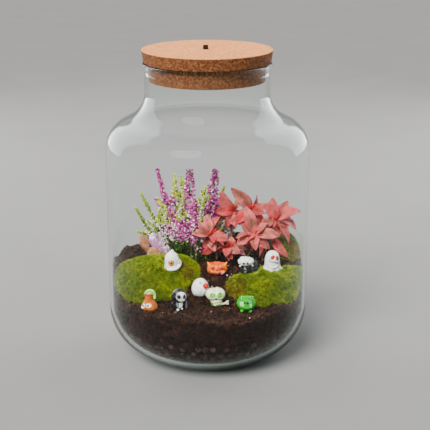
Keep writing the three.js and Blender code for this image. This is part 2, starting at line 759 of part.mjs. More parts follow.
// A pointed blade of even thickness, arched along its length and folded at its rib.
function leafBlade(root, tip, width) {
  const along = tip.clone().sub(root);
  const length = along.length();
  along.normalize();
  const face = LEAF_FACING.clone().addScaledVector(along, -LEAF_FACING.dot(along)).normalize();
  const side = new THREE.Vector3().crossVectors(along, face);
  const pointAt = (share, across) => {
    const arch = 0.32 * length * share * (1 - share) + 0.25 * Math.abs(across);
    return root.clone()
      .addScaledVector(along, share * length)
      .addScaledVector(side, across)
      .addScaledVector(face, arch);
  };
  const middle = [pointAt(0, 0)];
  for (const [share, spread] of LEAF_STATIONS) {
    for (const edge of [-1, 0, 1]) {
      middle.push(pointAt(share, (edge * spread * width) / 2));
    }
  }
  middle.push(pointAt(1, 0));
  const count = middle.length;
  const layer = (offset) => middle.flatMap((point) => point.clone().addScaledVector(face, offset).toArray());
  const upper = [[0, 2, 1], [0, 3, 2], [1, 2, 5], [1, 5, 4], [2, 3, 6], [2, 6, 5], [4, 5, 7], [5, 6, 7]];
  const edge = [0, 3, 6, 7, 4, 1];
  const index = [];
  for (const [a, b, c] of upper) {
    index.push(a, b, c, count + a, count + c, count + b);
  }
  edge.forEach((from, i) => {
    const to = edge[(i + 1) % edge.length];
    index.push(from, count + from, count + to, from, count + to, to);
  });
  const geometry = new THREE.BufferGeometry();
  const positions = [...layer(LEAF_THICKNESS / 2), ...layer(-LEAF_THICKNESS / 2)];
  geometry.setAttribute('position', new THREE.Float32BufferAttribute(positions, 3));
  geometry.setIndex(index);
  return solidOf(geometry);
}

// The point of a stem's line at a height.
function stemPointAt(line, height) {
  const curve = new THREE.CatmullRomCurve3(line);
  return curve.getPoints(60).reduce((best, point) => (
    Math.abs(point.z - height) < Math.abs(best.z - height) ? point : best
  ));
}

function leafyShoot({ foot, bend, head, leaves }) {
  const line = stemLine(foot, bend, head);
  const blades = leaves.map(({ tip, width, from = head[2] }) => (
    leafBlade(stemPointAt(line, from), new THREE.Vector3(...tip), width)
  ));
  return join([rod(line, SHRUB_STEM, 7, 5), ...blades]);
}

for (const shoot of SHRUB) {
  addPiece(shoot.name, leafyShoot(shoot), pinkLeaf);
}

// ---- Painted figures: each stands on its own origin and looks along -Y ----

function ball(x, y, z, width, depth = width, height = width, around = FIGURE_SIDES, up = 5) {
  const sphere = new THREE.SphereGeometry(1, around, up).rotateX(Math.PI / 2);
  return solidOf(sphere.scale(width, depth, height).translate(x, y, z));
}

function bead(x, y, z, radius) {
  return ball(x, y, z, radius, radius, radius, 5, 3);
}

function spike(x, y, bottom, radius, height) {
  const cone = new THREE.ConeGeometry(radius, height, 5);
  return solidOf(cone.rotateX(Math.PI / 2).translate(x, y, bottom + height / 2));
}

// A flat raised shape on the front, from an outline of [x, z] points.
function plate(outline, back, depth) {
  const shape = new THREE.Shape(outline.map(([x, z]) => new THREE.Vector2(x, z)));
  const slab = new THREE.ExtrudeGeometry(shape, { depth, bevelEnabled: false });
  return solidOf(slab.rotateX(Math.PI / 2).translate(0, back, 0));
}

// Cuts a figure off flat where it stands.
function standing(solid) {
  const below = new THREE.BoxGeometry(40, 40, 10).translate(0, 0, -5);
  return solid.subtract(solidOf(below));
}

function ghostOneEye() {
  const outline = [
    [0, 0], [7.4, 0], [8.2, 1], [6.9, 2.6], [7.3, 6.6], [6.4, 10.8], [4.1, 14.6], [2.2, 17.2], [0, 18.8],
  ];
  return join([
    solidOf(turned(outline, FIGURE_SIDES)),
    bead(0.4, 0, 17.8, 1.6),
    ball(5, -2.4, 4.4, 3.8, 4, 3.4, 6, 4),
    ball(-1, -5.4, 7.8, 2.9, 2.2, 2.9, 6, 4),
    bead(-1, -7.2, 7.8, 1.2),
  ]);
}

function pumpkinCat() {
  const shell = new THREE.SphereGeometry(1, 14, 6).rotateX(Math.PI / 2);
  const points = shell.attributes.position;
  for (let i = 0; i < points.count; i += 1) {
    const angle = Math.atan2(points.getY(i), points.getX(i));
    const rib = 1 - 0.05 * (1 - Math.cos(7 * angle));
    points.setXY(i, points.getX(i) * rib, points.getY(i) * rib);
  }
  return standing(join([
    solidOf(shell.scale(10.4, 8.8, 6.4).translate(0, 0, 5.2)),
    spike(-8.2, 0, 7.4, 2.7, 5.6),
    spike(8.2, 0, 7.4, 2.7, 5.6),
    plate([[-5.8, 8.4], [-2.4, 7.8], [-4.2, 10.2]], -4.6, 2.8),
    plate([[2.4, 7.8], [5.8, 8.4], [4.2, 10.2]], -4.6, 2.8),
    plate([[-0.9, 6.7], [0.9, 6.7], [0, 8.1]], -5.5, 3.2),
    plate([[-6.8, 5.8], [-3.8, 3], [0, 2.4], [3.8, 3], [6.8, 5.8], [0, 4.8]], -4, 5.1),
  ]));
}

function cauldronGhost() {
  const pot = [[0, 0], [5, 0], [7, 2.2], [7.4, 4.8], [6.4, 6.6], [7.1, 7.6], [0, 7.6]];
  return join([
    solidOf(turned(pot, FIGURE_SIDES)),
    ball(-0.6, 0, 11, 8.1, 6.6, 4.9),
    bead(-4, -5.7, 11.4, 1.1),
    bead(-0.2, -6.5, 11.6, 1.1),
    ball(7.4, 3, 7.4, 4.6, 4.6, 4.8, 7, 5),
  ]);
}

function ghostGrin() {
  const outline = [[0, 0], [8.4, 0], [9.4, 0.9], [8, 2.6], [7.7, 8.6], [6.8, 13.4], [4.3, 17.3], [0, 19.2]];
  const grin = [
    [-4.4, 11.6], [-3, 9.6], [-1.4, 10.4], [0.2, 8.6], [1.8, 9.4], [3.4, 7.6], [4.8, 8.6], [3.4, 10], [0, 11.2],
  ];
  return join([
    solidOf(turned(outline, FIGURE_SIDES)),
    ball(-0.7, -6.2, 14.2, 1.8, 1.2, 2, 6, 4),
    ball(3.6, -5.7, 12.8, 1.4, 1.2, 2.1, 6, 4),
    plate(grin, -5.2, 3),
  ]);
}

function potionFlask() {
  const outline = [
    [0, 0], [7, 0], [8.3, 1.8], [7.8, 4.6], [5.4, 8.8], [4.3, 11], [4.4, 13.6], [5.2, 14.2], [5.2, 16.6], [0, 17],
  ];
  const drip = new THREE.TorusGeometry(4.5, 1.5, 5, 8).rotateX(Math.PI / 2).rotateZ(0.2).translate(1.8, -1.6, 14.8);
  return join([
    solidOf(turned(outline, FIGURE_SIDES)),
    solidOf(drip),
    bead(-4.6, -5.6, 5.2, 1.9),
    bead(0.3, -6.8, 5.8, 2),
  ]);
}

function reaper() {
  const robe = [[0, 0], [6.4, 0], [5.8, 4.4], [5, 8.8], [0, 10.4]];
  const staff = [new THREE.Vector3(6.4, -1, 0.01), new THREE.Vector3(6.4, -1, 7), new THREE.Vector3(6.4, -1, 13)];
  const hooded = join([
    solidOf(turned(robe, FIGURE_SIDES)),
    ball(0, 0.5, 13.3, 7.3, 7, 6.9),
    ball(1.2, -4.6, 14, 4.9, 2.9, 4.4, 7, 5),
    rod(staff, 0.9, 2, 6),
    plate([[-3.4, 5.6], [3.4, 5.6], [3.4, 6.8], [-3.4, 6.8]], -3, 3.2),
    plate([[-2.8, 2.8], [2.8, 2.8], [2.8, 4], [-2.8, 4]], -3, 3.6),
  ]);
  return [bead(-0.8, -7.3, 14.8, 1.4), bead(3.2, -7.2, 14.8, 1.3)].reduce((rest, eye) => rest.subtract(eye), hooded);
}

function ghostRedNose() {
  const outline = [[0, 0], [6.2, 0], [8.2, 2.6], [8.6, 6.8], [7.4, 11.6], [4.4, 15.2], [0, 16.6]];
  return join([
    solidOf(turned(outline, FIGURE_SIDES)),
    ball(2.6, -7, 11, 2.7, 2.7, 2.7, 6, 4),
    bead(-2, -5.2, 13.6, 1.2),
  ]);
}

function skullFigure() {
  return standing(join([
    ball(0, 0, 10.4, 9.2, 8.2, 7),
    ball(0.4, -2.6, 3, 6, 5.4, 3.4),
    bead(1.3, 0, 17.2, 1.6),
    ball(-3.5, -6.6, 10.2, 2.5, 1.9, 2.5, 6, 4),
    ball(3.4, -6.6, 10.2, 2.5, 1.9, 2.5, 6, 4),
    plate([[-1, 5.6], [1, 5.6], [0, 7.4]], -6, 2.6),
    rod([new THREE.Vector3(4, -3, 2.4), new THREE.Vector3(8, -3, 3), new THREE.Vector3(11, -3, 3.8)], 1.1, 2, 5),
    bead(10.6, -3, 4.7, 1.5),
    bead(10.9, -3.4, 2.4, 1.5),
  ]));
}

function greenMonster() {
  return standing(join([
    ball(0, 0, 7.6, 9.6, 8.6, 7.5),
    ball(-5.8, 0, 13, 3.1, 2.3, 2.7, 6, 4),
    ball(5.8, 0, 13, 3.1, 2.3, 2.7, 6, 4),
    ball(0, -6.2, 6.2, 5.6, 3.4, 3.8, 7, 5),
    bead(-1.8, -7.3, 10.6, 1.4),
    bead(2, -7.3, 10.6, 1.4),
    ball(-4.4, -5.4, 1.7, 3, 3.4, 2.2, 6, 4),
    ball(4.4, -5.4, 1.7, 3, 3.4, 2.2, 6, 4),
  ]));
}

for (const { name, place, turn, floor, build, paint } of FIGURES) {
  const figure = addPiece(name, build(), paint);
  figure.position.set(...place, floor);
  figure.rotation.z = turn;
}

export default terrarium;
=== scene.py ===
"""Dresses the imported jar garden: smooth glass, cork, soil, moss, heather, shrub and figures.

Shapes are worked out in millimetres in the CAD frame and scaled to metres when a mesh is
made. The figures face -Y, and the camera stands in front of them.
"""
import json
import math

import bmesh
import bpy
import numpy as np
from mathutils import Matrix, Vector, noise
from mathutils.bvhtree import BVHTree

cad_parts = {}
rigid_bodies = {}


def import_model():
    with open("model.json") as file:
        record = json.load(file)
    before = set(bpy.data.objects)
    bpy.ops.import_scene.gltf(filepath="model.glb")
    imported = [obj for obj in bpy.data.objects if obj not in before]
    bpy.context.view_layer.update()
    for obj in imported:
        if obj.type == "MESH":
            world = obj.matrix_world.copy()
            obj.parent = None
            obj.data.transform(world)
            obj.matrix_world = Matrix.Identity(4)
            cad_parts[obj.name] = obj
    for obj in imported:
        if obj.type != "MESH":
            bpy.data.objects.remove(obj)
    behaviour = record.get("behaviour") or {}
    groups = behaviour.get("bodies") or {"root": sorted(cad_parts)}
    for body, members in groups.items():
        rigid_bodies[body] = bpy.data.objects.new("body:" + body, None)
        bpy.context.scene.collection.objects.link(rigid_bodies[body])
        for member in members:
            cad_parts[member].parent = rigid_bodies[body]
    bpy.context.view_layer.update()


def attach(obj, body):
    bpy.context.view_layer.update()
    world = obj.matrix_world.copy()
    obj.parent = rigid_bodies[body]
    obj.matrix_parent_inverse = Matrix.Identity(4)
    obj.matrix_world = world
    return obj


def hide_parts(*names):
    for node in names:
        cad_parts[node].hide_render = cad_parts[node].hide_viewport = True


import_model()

MM = 0.001
TURN = 2 * math.pi  # a full turn

# ---- Driving dimensions, as in the CAD source ----

GAP = 0.3
BODY_RADIUS = 97.5
GLASS_WALL = 3.0
GLASS_FLOOR = 5.0
HEEL_RADIUS = 49.0
WALL_TOP = 205.5
SHOULDER_RADIUS = 30.1
SHOULDER_TURN = 1.133
SHOULDER_SLOPE = 5.2
THROAT_RADIUS = 27.8
RIM_TOP = 288.0
LIP_RADIUS = 61.0
LIP_HEIGHT = 3.5
TURNED = SHOULDER_RADIUS + THROAT_RADIUS
NECK_BOTTOM = WALL_TOP + TURNED * math.sin(SHOULDER_TURN) + SHOULDER_SLOPE * math.cos(SHOULDER_TURN)
NECK_RADIUS = (
    BODY_RADIUS - TURNED * (1 - math.cos(SHOULDER_TURN)) - SHOULDER_SLOPE * math.sin(SHOULDER_TURN)
)

LID_TOP_RADIUS = 61.6
LID_EDGE_RADIUS = 60.0
LID_THICKNESS = 12.0
PLUG_DEPTH = 17.0
PLUG_TAPER = 1.5
LID_TOP = RIM_TOP + LID_THICKNESS

BLOCK_SIZE = 4.9
BLOCK_HEIGHT = 5.5
BLOCK_DEPTH = 2.0
BLOCK_OFFSET = -1.5

PEBBLE_TOP = 30.0
ROOM_RADIUS = BODY_RADIUS - GLASS_WALL - GAP
HEEL_CENTRE = (BODY_RADIUS - HEEL_RADIUS, GLASS_FLOOR + HEEL_RADIUS - GLASS_WALL)
STEM_BURIED = 8.0
SOIL_LUMPS = 16
RIM_LUMP = 1.1
WALL_DENT = 1.6
MOSS_REAR_RISE = 0.2

# ---- How fine the pieces are, and how far they go ----

JAR_SIDES = 144
LID_SIDES = 300
AROUND = 440  # points round the soil and the pebble bed
WALL_ROWS = 46
TOP_ROWS = 84
BED_ROWS = 30
EDGE_DROP = 0.6  # how far the soil's wall ends below its top
WALL_CRUMBLE = 1.9  # how deep the soil's wall is eaten away
BED_CRUMBLE = 2.2
POCKET_DEPTH = 3.6  # how far the soil stands back round a clay ball
BALLS_TOP = 36  # the highest middle of a clay ball
BALL_TRIES = 9000
TOP_CRUMBS = 1400  # on the soil, for each shape of crumb
WALL_CRUMBS = 900  # against the glass
BED_CRUMBS = 800  # between the clay balls
FIBRES = 620
WALL_FIBRES = 36
STRAWS = 16
FIBRE_REACH = 93.2
MOSS_SIDES = 150
MOSS_RINGS = 44
TUFT_LEAVES = 6
PLANT_REACH = 86  # how far out sprigs and small leaves may go
UNDERBRUSH = 84
LEAF_STATIONS = 28
LEAF_ACROSS = 11
LEAF_THICK = 0.45

# ---- Points, faces and heaps of small shapes ----


class Heap:
    """Points and faces of many small shapes that become one mesh, with two numbers a point:
    tone, which varies from shape to shape, and tip, which varies along a shape."""

    def __init__(self):
        self.points, self.faces, self.paints, self.tones, self.tips = [], [], [], [], []
        self.count = 0

    def add(self, points, face_sets, paint=0, tone=0.5, tip=0.5):
        points = np.asarray(points, float).reshape(-1, 3)
        for faces in face_sets:
            if len(faces):
                faces = np.asarray(faces, np.int64)
                self.faces.append(faces + self.count)
                self.paints.append(np.full(len(faces), paint, np.int32))
        self.points.append(points)
        self.tones.append(np.broadcast_to(np.asarray(tone, float).ravel(), len(points)))
        self.tips.append(np.broadcast_to(np.asarray(tip, float).ravel(), len(points)))
        self.count += len(points)

    def piece(self, name, materials, slot, replaces, smooth=True):
        """Makes the mesh and ties it to the CAD body, hiding the nodes that it stands for."""
        mesh = bpy.data.meshes.new(name)
        points = np.concatenate(self.points).astype(np.float32) * MM
        mesh.vertices.add(len(points))
        mesh.vertices.foreach_set("co", points.ravel())
        loops = np.concatenate([faces.ravel() for faces in self.faces])
        sizes = np.concatenate([np.full(len(faces), faces.shape[1]) for faces in self.faces])
        mesh.loops.add(len(loops))
        mesh.loops.foreach_set("vertex_index", loops.astype(np.int32))
        mesh.polygons.add(len(sizes))
        starts = np.concatenate([[0], np.cumsum(sizes)[:-1]])
        mesh.polygons.foreach_set("loop_start", starts.astype(np.int32))
        mesh.polygons.foreach_set("material_index", np.concatenate(self.paints))
        mesh.polygons.foreach_set("use_smooth", np.full(len(sizes), smooth))
        mesh.update(calc_edges=True)
        mesh.validate()
        for label, values in (("tone", self.tones), ("tip", self.tips)):
            layer = mesh.attributes.new(label, "FLOAT", "POINT")
            layer.data.foreach_set("value", np.concatenate(values).astype(np.float32))
        for material in materials:
            mesh.materials.append(material)
        made = bpy.data.objects.new(name, mesh)
        bpy.context.collection.objects.link(made)
        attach(made, "root")
        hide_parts(*replaces)


def round_angles(count):
    return np.linspace(0, TURN, count, endpoint=False)


def polar(radius, angle):
    return radius * np.cos(angle), radius * np.sin(angle)


def ring_at(radius, angles, height):
    """A ring of points round the axis."""
    x, y = polar(radius, angles)
    return np.column_stack([x, y, np.broadcast_to(height, len(angles))])


def unit(rows):
    """Each row of a list of directions, at length 1."""
    return rows / np.linalg.norm(rows, axis=1)[:, None]


def grid_faces(rows, columns):
    """Quads between closed rings of points."""
    low = (columns * np.arange(rows - 1))[:, None]
    column = np.arange(columns)
    after = (column + 1) % columns
    quads = [low + column, low + after, low + columns + after, low + columns + column]
    return np.stack(quads, 2).reshape(-1, 4)


def ring_body(rings):
    """A closed body through rings of points, fanned shut at both ends."""
    rings = np.asarray(rings, float)
    rows, columns = rings.shape[:2]
    ends = [rings[0].mean(0), rings[-1].mean(0)]
    points = np.concatenate([rings.reshape(-1, 3), ends])
    first, last = len(points) - 2, len(points) - 1
    column = np.arange(columns)
    after = (column + 1) % columns
    top = (rows - 1) * columns
    fans = np.concatenate([
        np.stack([np.full(columns, first), after, column], 1),
        np.stack([np.full(columns, last), top + column, top + after], 1),
    ])
    return points, [grid_faces(rows, columns), fans]


def turned(outline, sides):
    """A turned body from an outline of (radius, height) points that starts and ends on the axis."""
    angles = round_angles(sides)
    points, faces = ring_body([ring_at(radius, angles, height) for radius, height in outline[1:-1]])
    points[-2] = (0, 0, outline[0][1])
    points[-1] = (0, 0, outline[-1][1])
    return points, faces


def arc(centre, radius, start, end, steps):
    angles = np.linspace(start, end, steps + 1)
    return [(centre[0] + radius * math.cos(a), centre[1] + radius * math.sin(a)) for a in angles]


def smooth_line(points, count):
    """Evenly spaced points on a centripetal curve through the given points."""
    points = [np.asarray(point, float) for point in points]
    points = [2 * points[0] - points[1], *points, 2 * points[-1] - points[-2]]
    line = []
    for p0, p1, p2, p3 in zip(points, points[1:], points[2:], points[3:]):
        t1 = np.linalg.norm(p1 - p0) ** 0.5
        t2 = t1 + np.linalg.norm(p2 - p1) ** 0.5
        t3 = t2 + np.linalg.norm(p3 - p2) ** 0.5
        for t in np.linspace(t1, t2, 24, endpoint=False):
            a1 = (t1 - t) / t1 * p0 + t / t1 * p1
            a2 = (t2 - t) / (t2 - t1) * p1 + (t - t1) / (t2 - t1) * p2
            a3 = (t3 - t) / (t3 - t2) * p2 + (t - t2) / (t3 - t2) * p3
            b1 = (t2 - t) / t2 * a1 + t / t2 * a2
            b2 = (t3 - t) / (t3 - t1) * a2 + (t - t1) / (t3 - t1) * a3
            line.append((t2 - t) / (t2 - t1) * b1 + (t - t1) / (t2 - t1) * b2)
    line.append(points[-2])
    line = np.array(line)
    along = np.concatenate([[0], np.cumsum(np.linalg.norm(np.diff(line, axis=0), axis=1))])
    wanted = np.linspace(0, along[-1], count)
    return np.stack([np.interp(wanted, along, line[:, axis]) for axis in range(3)], 1)


def tube(line, radii, sides):
    """A closed tube along a line of points, with a radius at each."""
    line = np.asarray(line, float)
    radii = np.broadcast_to(radii, len(line))
    ways = np.gradient(line, axis=0)
    ways /= np.linalg.norm(ways, axis=1)[:, None] + 1e-9
    side = np.cross(ways[0], (0.3, 0.9, 0.2))
    angles = round_angles(sides)
    rings = []
    for point, way, radius in zip(line, ways, radii):
        side = side - way * side.dot(way)
        side /= np.linalg.norm(side)
        other = np.cross(way, side)
        rings.append(point + radius * (np.cos(angles)[:, None] * side + np.sin(angles)[:, None] * other))
    return ring_body(rings)


def frames_along(ways, rng):
    """Turning matrices that take +Z to each direction, rolled at random."""
    ways = unit(np.asarray(ways, float))
    helper = np.where(np.abs(ways[:, 2:3]) < 0.9, [[0.0, 0.0, 1.0]], [[1.0, 0.0, 0.0]])
    side = unit(np.cross(ways, helper))
    other = np.cross(ways, side)
    roll = rng.uniform(0, TURN, len(ways))[:, None]
    first = side * np.cos(roll) + other * np.sin(roll)
    second = np.cross(ways, first)
    return np.stack([first, second, ways], 2)


def stamp(heap, shape, places, frames, sizes, tone, paint=0):
    """Copies a small shape to many places at once. A shape is points, face sets and tips."""
    points, face_sets, tips = shape
    sizes = np.asarray(sizes, float)
    sizes = sizes[:, None] * np.ones(3) if sizes.ndim == 1 else sizes
    many, few = len(places), len(points)
    placed = np.einsum("nij,nvj->nvi", frames, points[None] * sizes[:, None]) + places[:, None]
    shifts = few * np.arange(many)
    sets = [(faces[None] + shifts[:, None, None]).reshape(-1, faces.shape[1]) for faces in face_sets]
    heap.add(placed.reshape(-1, 3), sets, paint, np.repeat(tone, few), np.tile(tips, many))


def arrays_of(mesh):
    """A mesh's points and faces."""
    points = np.array([vertex.co for vertex in mesh.vertices])
    return points, np.array([polygon.vertices[:] for polygon in mesh.polygons])


def triangles_of(body):
    """The points and triangles of a bmesh, which is freed."""
    bmesh.ops.triangulate(body, faces=body.faces)
    body.verts.index_update()
    points = np.array([vertex.co for vertex in body.verts])
    faces = np.array([[vertex.index for vertex in face.verts] for face in body.faces])
    body.free()
    return points, [faces]


def ico(detail, rng=None, rough=0.0):
    """An icosphere's points and faces, roughened at random."""
    mesh = bpy.data.meshes.new("ico")
    ball = bmesh.new()
    bmesh.ops.create_icosphere(ball, subdivisions=detail, radius=1.0)
    ball.to_mesh(mesh)
    ball.free()
    points, faces = arrays_of(mesh)
    bpy.data.meshes.remove(mesh)
    if rough:
        points = points * (1 + rng.uniform(-rough, rough, (len(points), 1)))
    return points, faces


def crumb_shapes(rng, detail, count, rough):
    shapes = []
    for _ in range(count):
        points, faces = ico(detail, rng, rough)
        shapes.append((points, [faces], np.full(len(points), 0.5)))
    return shapes


def noise_at(points, scale, seed=0.0):
    """Smooth noise from -1 to 1 at each point; scale is the size of its lumps in millimetres."""
    shift = Vector((seed * 17.3, seed * 5.1, seed * 9.7))
    return np.array([noise.noise(Vector(point) / scale + shift) for point in points])


# ---- Lie of the ground, as in the CAD source ----


def smooth_step(low, high, value):
    share = np.clip((value - low) / (high - low), 0, 1)
    return share * share * (3 - 2 * share)


def swell(x, y, middle_x, middle_y, spread):
    return np.exp(-((x - middle_x) ** 2 + (y - middle_y) ** 2) / (2 * spread**2))


def soil_height(x, y):
    slope = 62 + 28 * smooth_step(-58, 28, y)
    edges = (
        3 * swell(x, y, -30, -85, 25)
        - 4 * swell(x, y, 22, -90, 22)
        + 7 * swell(x, y, -96, -4, 16)
        + 8 * swell(x, y, 94, 10, 22)
    )
    waves = 0.9 * np.sin(x / 5.6 + y / 11) + 0.8 * np.sin(y / 5.4 - x / 12)
    rim = RIM_LUMP * np.cos(SOIL_LUMPS * np.arctan2(y, x)) * smooth_step(66, 90, np.hypot(x, y))
    return slope + edges + waves + rim


MOSS_CUSHIONS = {
    "moss_left": dict(middle=(-50.5, -16), reach=(42, 28), turn=0.35, height=15, seed=-0.2),
    "moss_right": dict(middle=(59.5, -25.5), reach=(44, 21.5), turn=0.05, height=10.5, seed=1.6),
    "moss_rear": dict(middle=(79, 23), reach=(24, 14), turn=1.75, height=13, seed=4.1),
}


def moss_reach(cushion, angle):
    own = angle - cushion["turn"]
    long, short = cushion["reach"]
    oval = 1 / np.hypot(np.cos(own) / long, np.sin(own) / short)
    return oval * (1 + 0.05 * np.sin(3 * angle + cushion["seed"]) + 0.03 * np.sin(5 * angle))


def moss_height(cushion, x, y):
    across, along = x - cushion["middle"][0], y - cushion["middle"][1]
    share = np.hypot(across, along) / moss_reach(cushion, np.arctan2(along, across))
    dome = cushion["height"] * np.maximum(1 - share**2.3, 0) ** 0.7
    rearward = along / cushion["reach"][1]
    return np.where(share < 1, soil_height(x, y) + dome * (1 + MOSS_REAR_RISE * rearward), 0)


def ground_height(x, y):
    return np.maximum.reduce([soil_height(x, y), *(moss_height(c, x, y) for c in MOSS_CUSHIONS.values())])


# Where each figure stands, the way it turns, the room that it takes and its material slot.
FIGURES = {
    "ghost_one_eye": ((-35, -12), 0.1, 8.6, "white_paint"),
    "pumpkin_cat": ((9.4, -3.5), 0.0, 11.4, "orange_paint"),
    "cauldron_ghost": ((38, -9.5), 0.1, 13, "black_paint"),
    "ghost_grin": ((63.2, -9.5), 0.1, 9.6, "white_paint"),
    "potion_flask": ((-54.8, -55.5), -0.2, 9.2, "orange_paint"),
    "reaper": ((-26.8, -61), 0.1, 8.4, "black_paint"),
    "ghost_red_nose": ((-7, -31), 0.3, 9, "white_paint"),
    "skull_figure": ((7.4, -46.5), 0.1, 12.4, "cream_paint"),
    "green_monster": ((36.4, -54.5), -0.1, 10, "green_paint"),
}


def floor_of(name):
    (x, y), _, room, _ = FIGURES[name]
    return float(ground_height(x, y - 0.5 * room)) - 0.8


def pressed(x, y, height):
    """The ground's height where the figures press it flat."""
    for name, ((foot_x, foot_y), _, room, _) in FIGURES.items():
        out = np.hypot(x - foot_x, y - foot_y)
        share = 1 - smooth_step(0.85 * room, 1.35 * room, out)
        height = height + share * (np.minimum(height, floor_of(name)) - height)
    return height


# ---- Node helpers ----


def srgb(red, green, blue):
    """A colour from its 0 to 255 screen values."""
    def linear(value):
        value /= 255
        return value / 12.92 if value <= 0.04045 else ((value + 0.055) / 1.055) ** 2.4
    return (linear(red), linear(green), linear(blue), 1.0)


class Paint:
    """A material under construction, with short calls for its nodes."""

    def __init__(self, name, **sockets):
        self.material = bpy.data.materials.new(name)
        self.material.use_nodes = True
        self.tree = self.material.node_tree
        self.shader = self.tree.nodes["Principled BSDF"]
        self.output = self.tree.nodes["Material Output"]
        self.place = self.node("ShaderNodeTexCoord").outputs["Object"]
        for socket, value in sockets.items():
            self.shader.inputs[socket.replace("_", " ")].default_value = value

    def node(self, kind, **settings):
        made = self.tree.nodes.new(kind)
        for key, value in settings.items():
            setattr(made, key, value)
        return made

    def feed(self, socket, value):
        if isinstance(value, bpy.types.NodeSocket):
            self.tree.links.new(value, socket)
        else:
            socket.default_value = value

    def fed(self, kind, **sockets):
        """A node with the named inputs fed."""
        made = self.node(kind)
        for socket, value in sockets.items():
            self.feed(made.inputs[socket], value)
        return made

    def set(self, socket, value):
        self.feed(self.shader.inputs[socket], value)

    def noise(self, size, detail=4.0, rough=0.55, twist=0.0, stretch=None):
        """Noise whose lumps are about size millimetres across."""
        place = self.place
        if stretch:
            place = self.fed("ShaderNodeMapping", Vector=place, Scale=stretch).outputs["Vector"]
        made = self.fed("ShaderNodeTexNoise", Vector=place, Scale=1000 / size, Detail=detail)
        self.feed(made.inputs["Roughness"], rough)
        self.feed(made.inputs["Distortion"], twist)
        return made.outputs["Fac"]

    def cells(self, size, feature="F1", output="Distance"):
        made = self.node("ShaderNodeTexVoronoi", feature=feature)
        self.feed(made.inputs["Vector"], self.place)
        made.inputs["Scale"].default_value = 1000 / size
        return made.outputs[output]

    def attribute(self, name):
        return self.node("ShaderNodeAttribute", attribute_name=name).outputs["Fac"]

    def ramp(self, value, *stops):
        made = self.node("ShaderNodeValToRGB")
        self.feed(made.inputs["Fac"], value)
        elements = made.color_ramp.elements
        while len(elements) < len(stops):
            elements.new(0.5)
        for element, (position, color) in zip(elements, stops):
            element.position = position
            element.color = color if isinstance(color, tuple) else (color, color, color, 1)
        return made.outputs["Color"]

    def math(self, operation, a, b=0.0, clamp=False):
        made = self.node("ShaderNodeMath", operation=operation, use_clamp=clamp)
        self.feed(made.inputs[0], a)
        self.feed(made.inputs[1], b)
        return made.outputs[0]

    def times(self, a, b):
        return self.math("MULTIPLY", a, b)

    def mix(self, share, a, b, blend="MIX"):
        made = self.node("ShaderNodeMix", data_type="RGBA", blend_type=blend)
        self.feed(made.inputs["Factor"], share)
        self.feed(made.inputs["A"], a)
        self.feed(made.inputs["B"], b)
        return made.outputs["Result"]

    def darkened(self, color, shade):
        return self.mix(1.0, color, shade, "MULTIPLY")

    def bump(self, height, depth, strength=1.0):
        """Gives the surface a bump whose full height is depth millimetres."""
        made = self.fed("ShaderNodeBump", Height=height, Distance=depth * MM, Strength=strength)
        self.set("Normal", made.outputs["Normal"])


# ---- Camera, floor and light ----

CAMERA_DISTANCE = 1.073085
CAMERA_PITCH = math.radians(16.9)
AIM_HEIGHT = 0.138
FOCAL_PIXELS = 1100.0
OFF_CENTRE_PIXELS = 7.75  # the jar's axis falls this far left of the picture's middle
PICTURE_PIXELS = 430.0
SENSOR_WIDTH = 36.0
KEY_POWER = 8.2
KEY_SOFTNESS = 0.55
SIDE_POWER = 17
SKY_POWER = 0.42
FLOOR_SIZE = 14
FLOOR_DROP = 0.0002  # keeps the floor just clear of the jar's underside


def look(origin, target):
    return (Vector(target) - Vector(origin)).to_track_quat("-Z", "Y").to_matrix().to_4x4()


def set_camera():
    data = bpy.data.cameras.new("camera")
    data.sensor_width = SENSOR_WIDTH
    data.lens = SENSOR_WIDTH * FOCAL_PIXELS / PICTURE_PIXELS
    data.clip_start = 0.05
    data.clip_end = 50
    camera = bpy.data.objects.new("camera", data)
    bpy.context.collection.objects.link(camera)
    place = Vector((0, -math.cos(CAMERA_PITCH), math.sin(CAMERA_PITCH))) * CAMERA_DISTANCE
    place.z += AIM_HEIGHT
    yaw = -math.atan2(OFF_CENTRE_PIXELS, FOCAL_PIXELS)
    camera.matrix_world = (
        Matrix.Translation(place)
        @ Matrix.Rotation(yaw, 4, "Z")
        @ Matrix.Rotation(math.pi / 2 - CAMERA_PITCH, 4, "X")
    )
    bpy.context.scene.camera = camera


def add_light(name, place, target, size, power, color):
    data = bpy.data.lights.new(name, "AREA")
    data.shape = "RECTANGLE"
    data.size, data.size_y = size
    data.energy = power
    data.color = color
    made = bpy.data.objects.new(name, data)
    bpy.context.collection.objects.link(made)
    made.matrix_world = Matrix.Translation(Vector(place)) @ look(place, target)


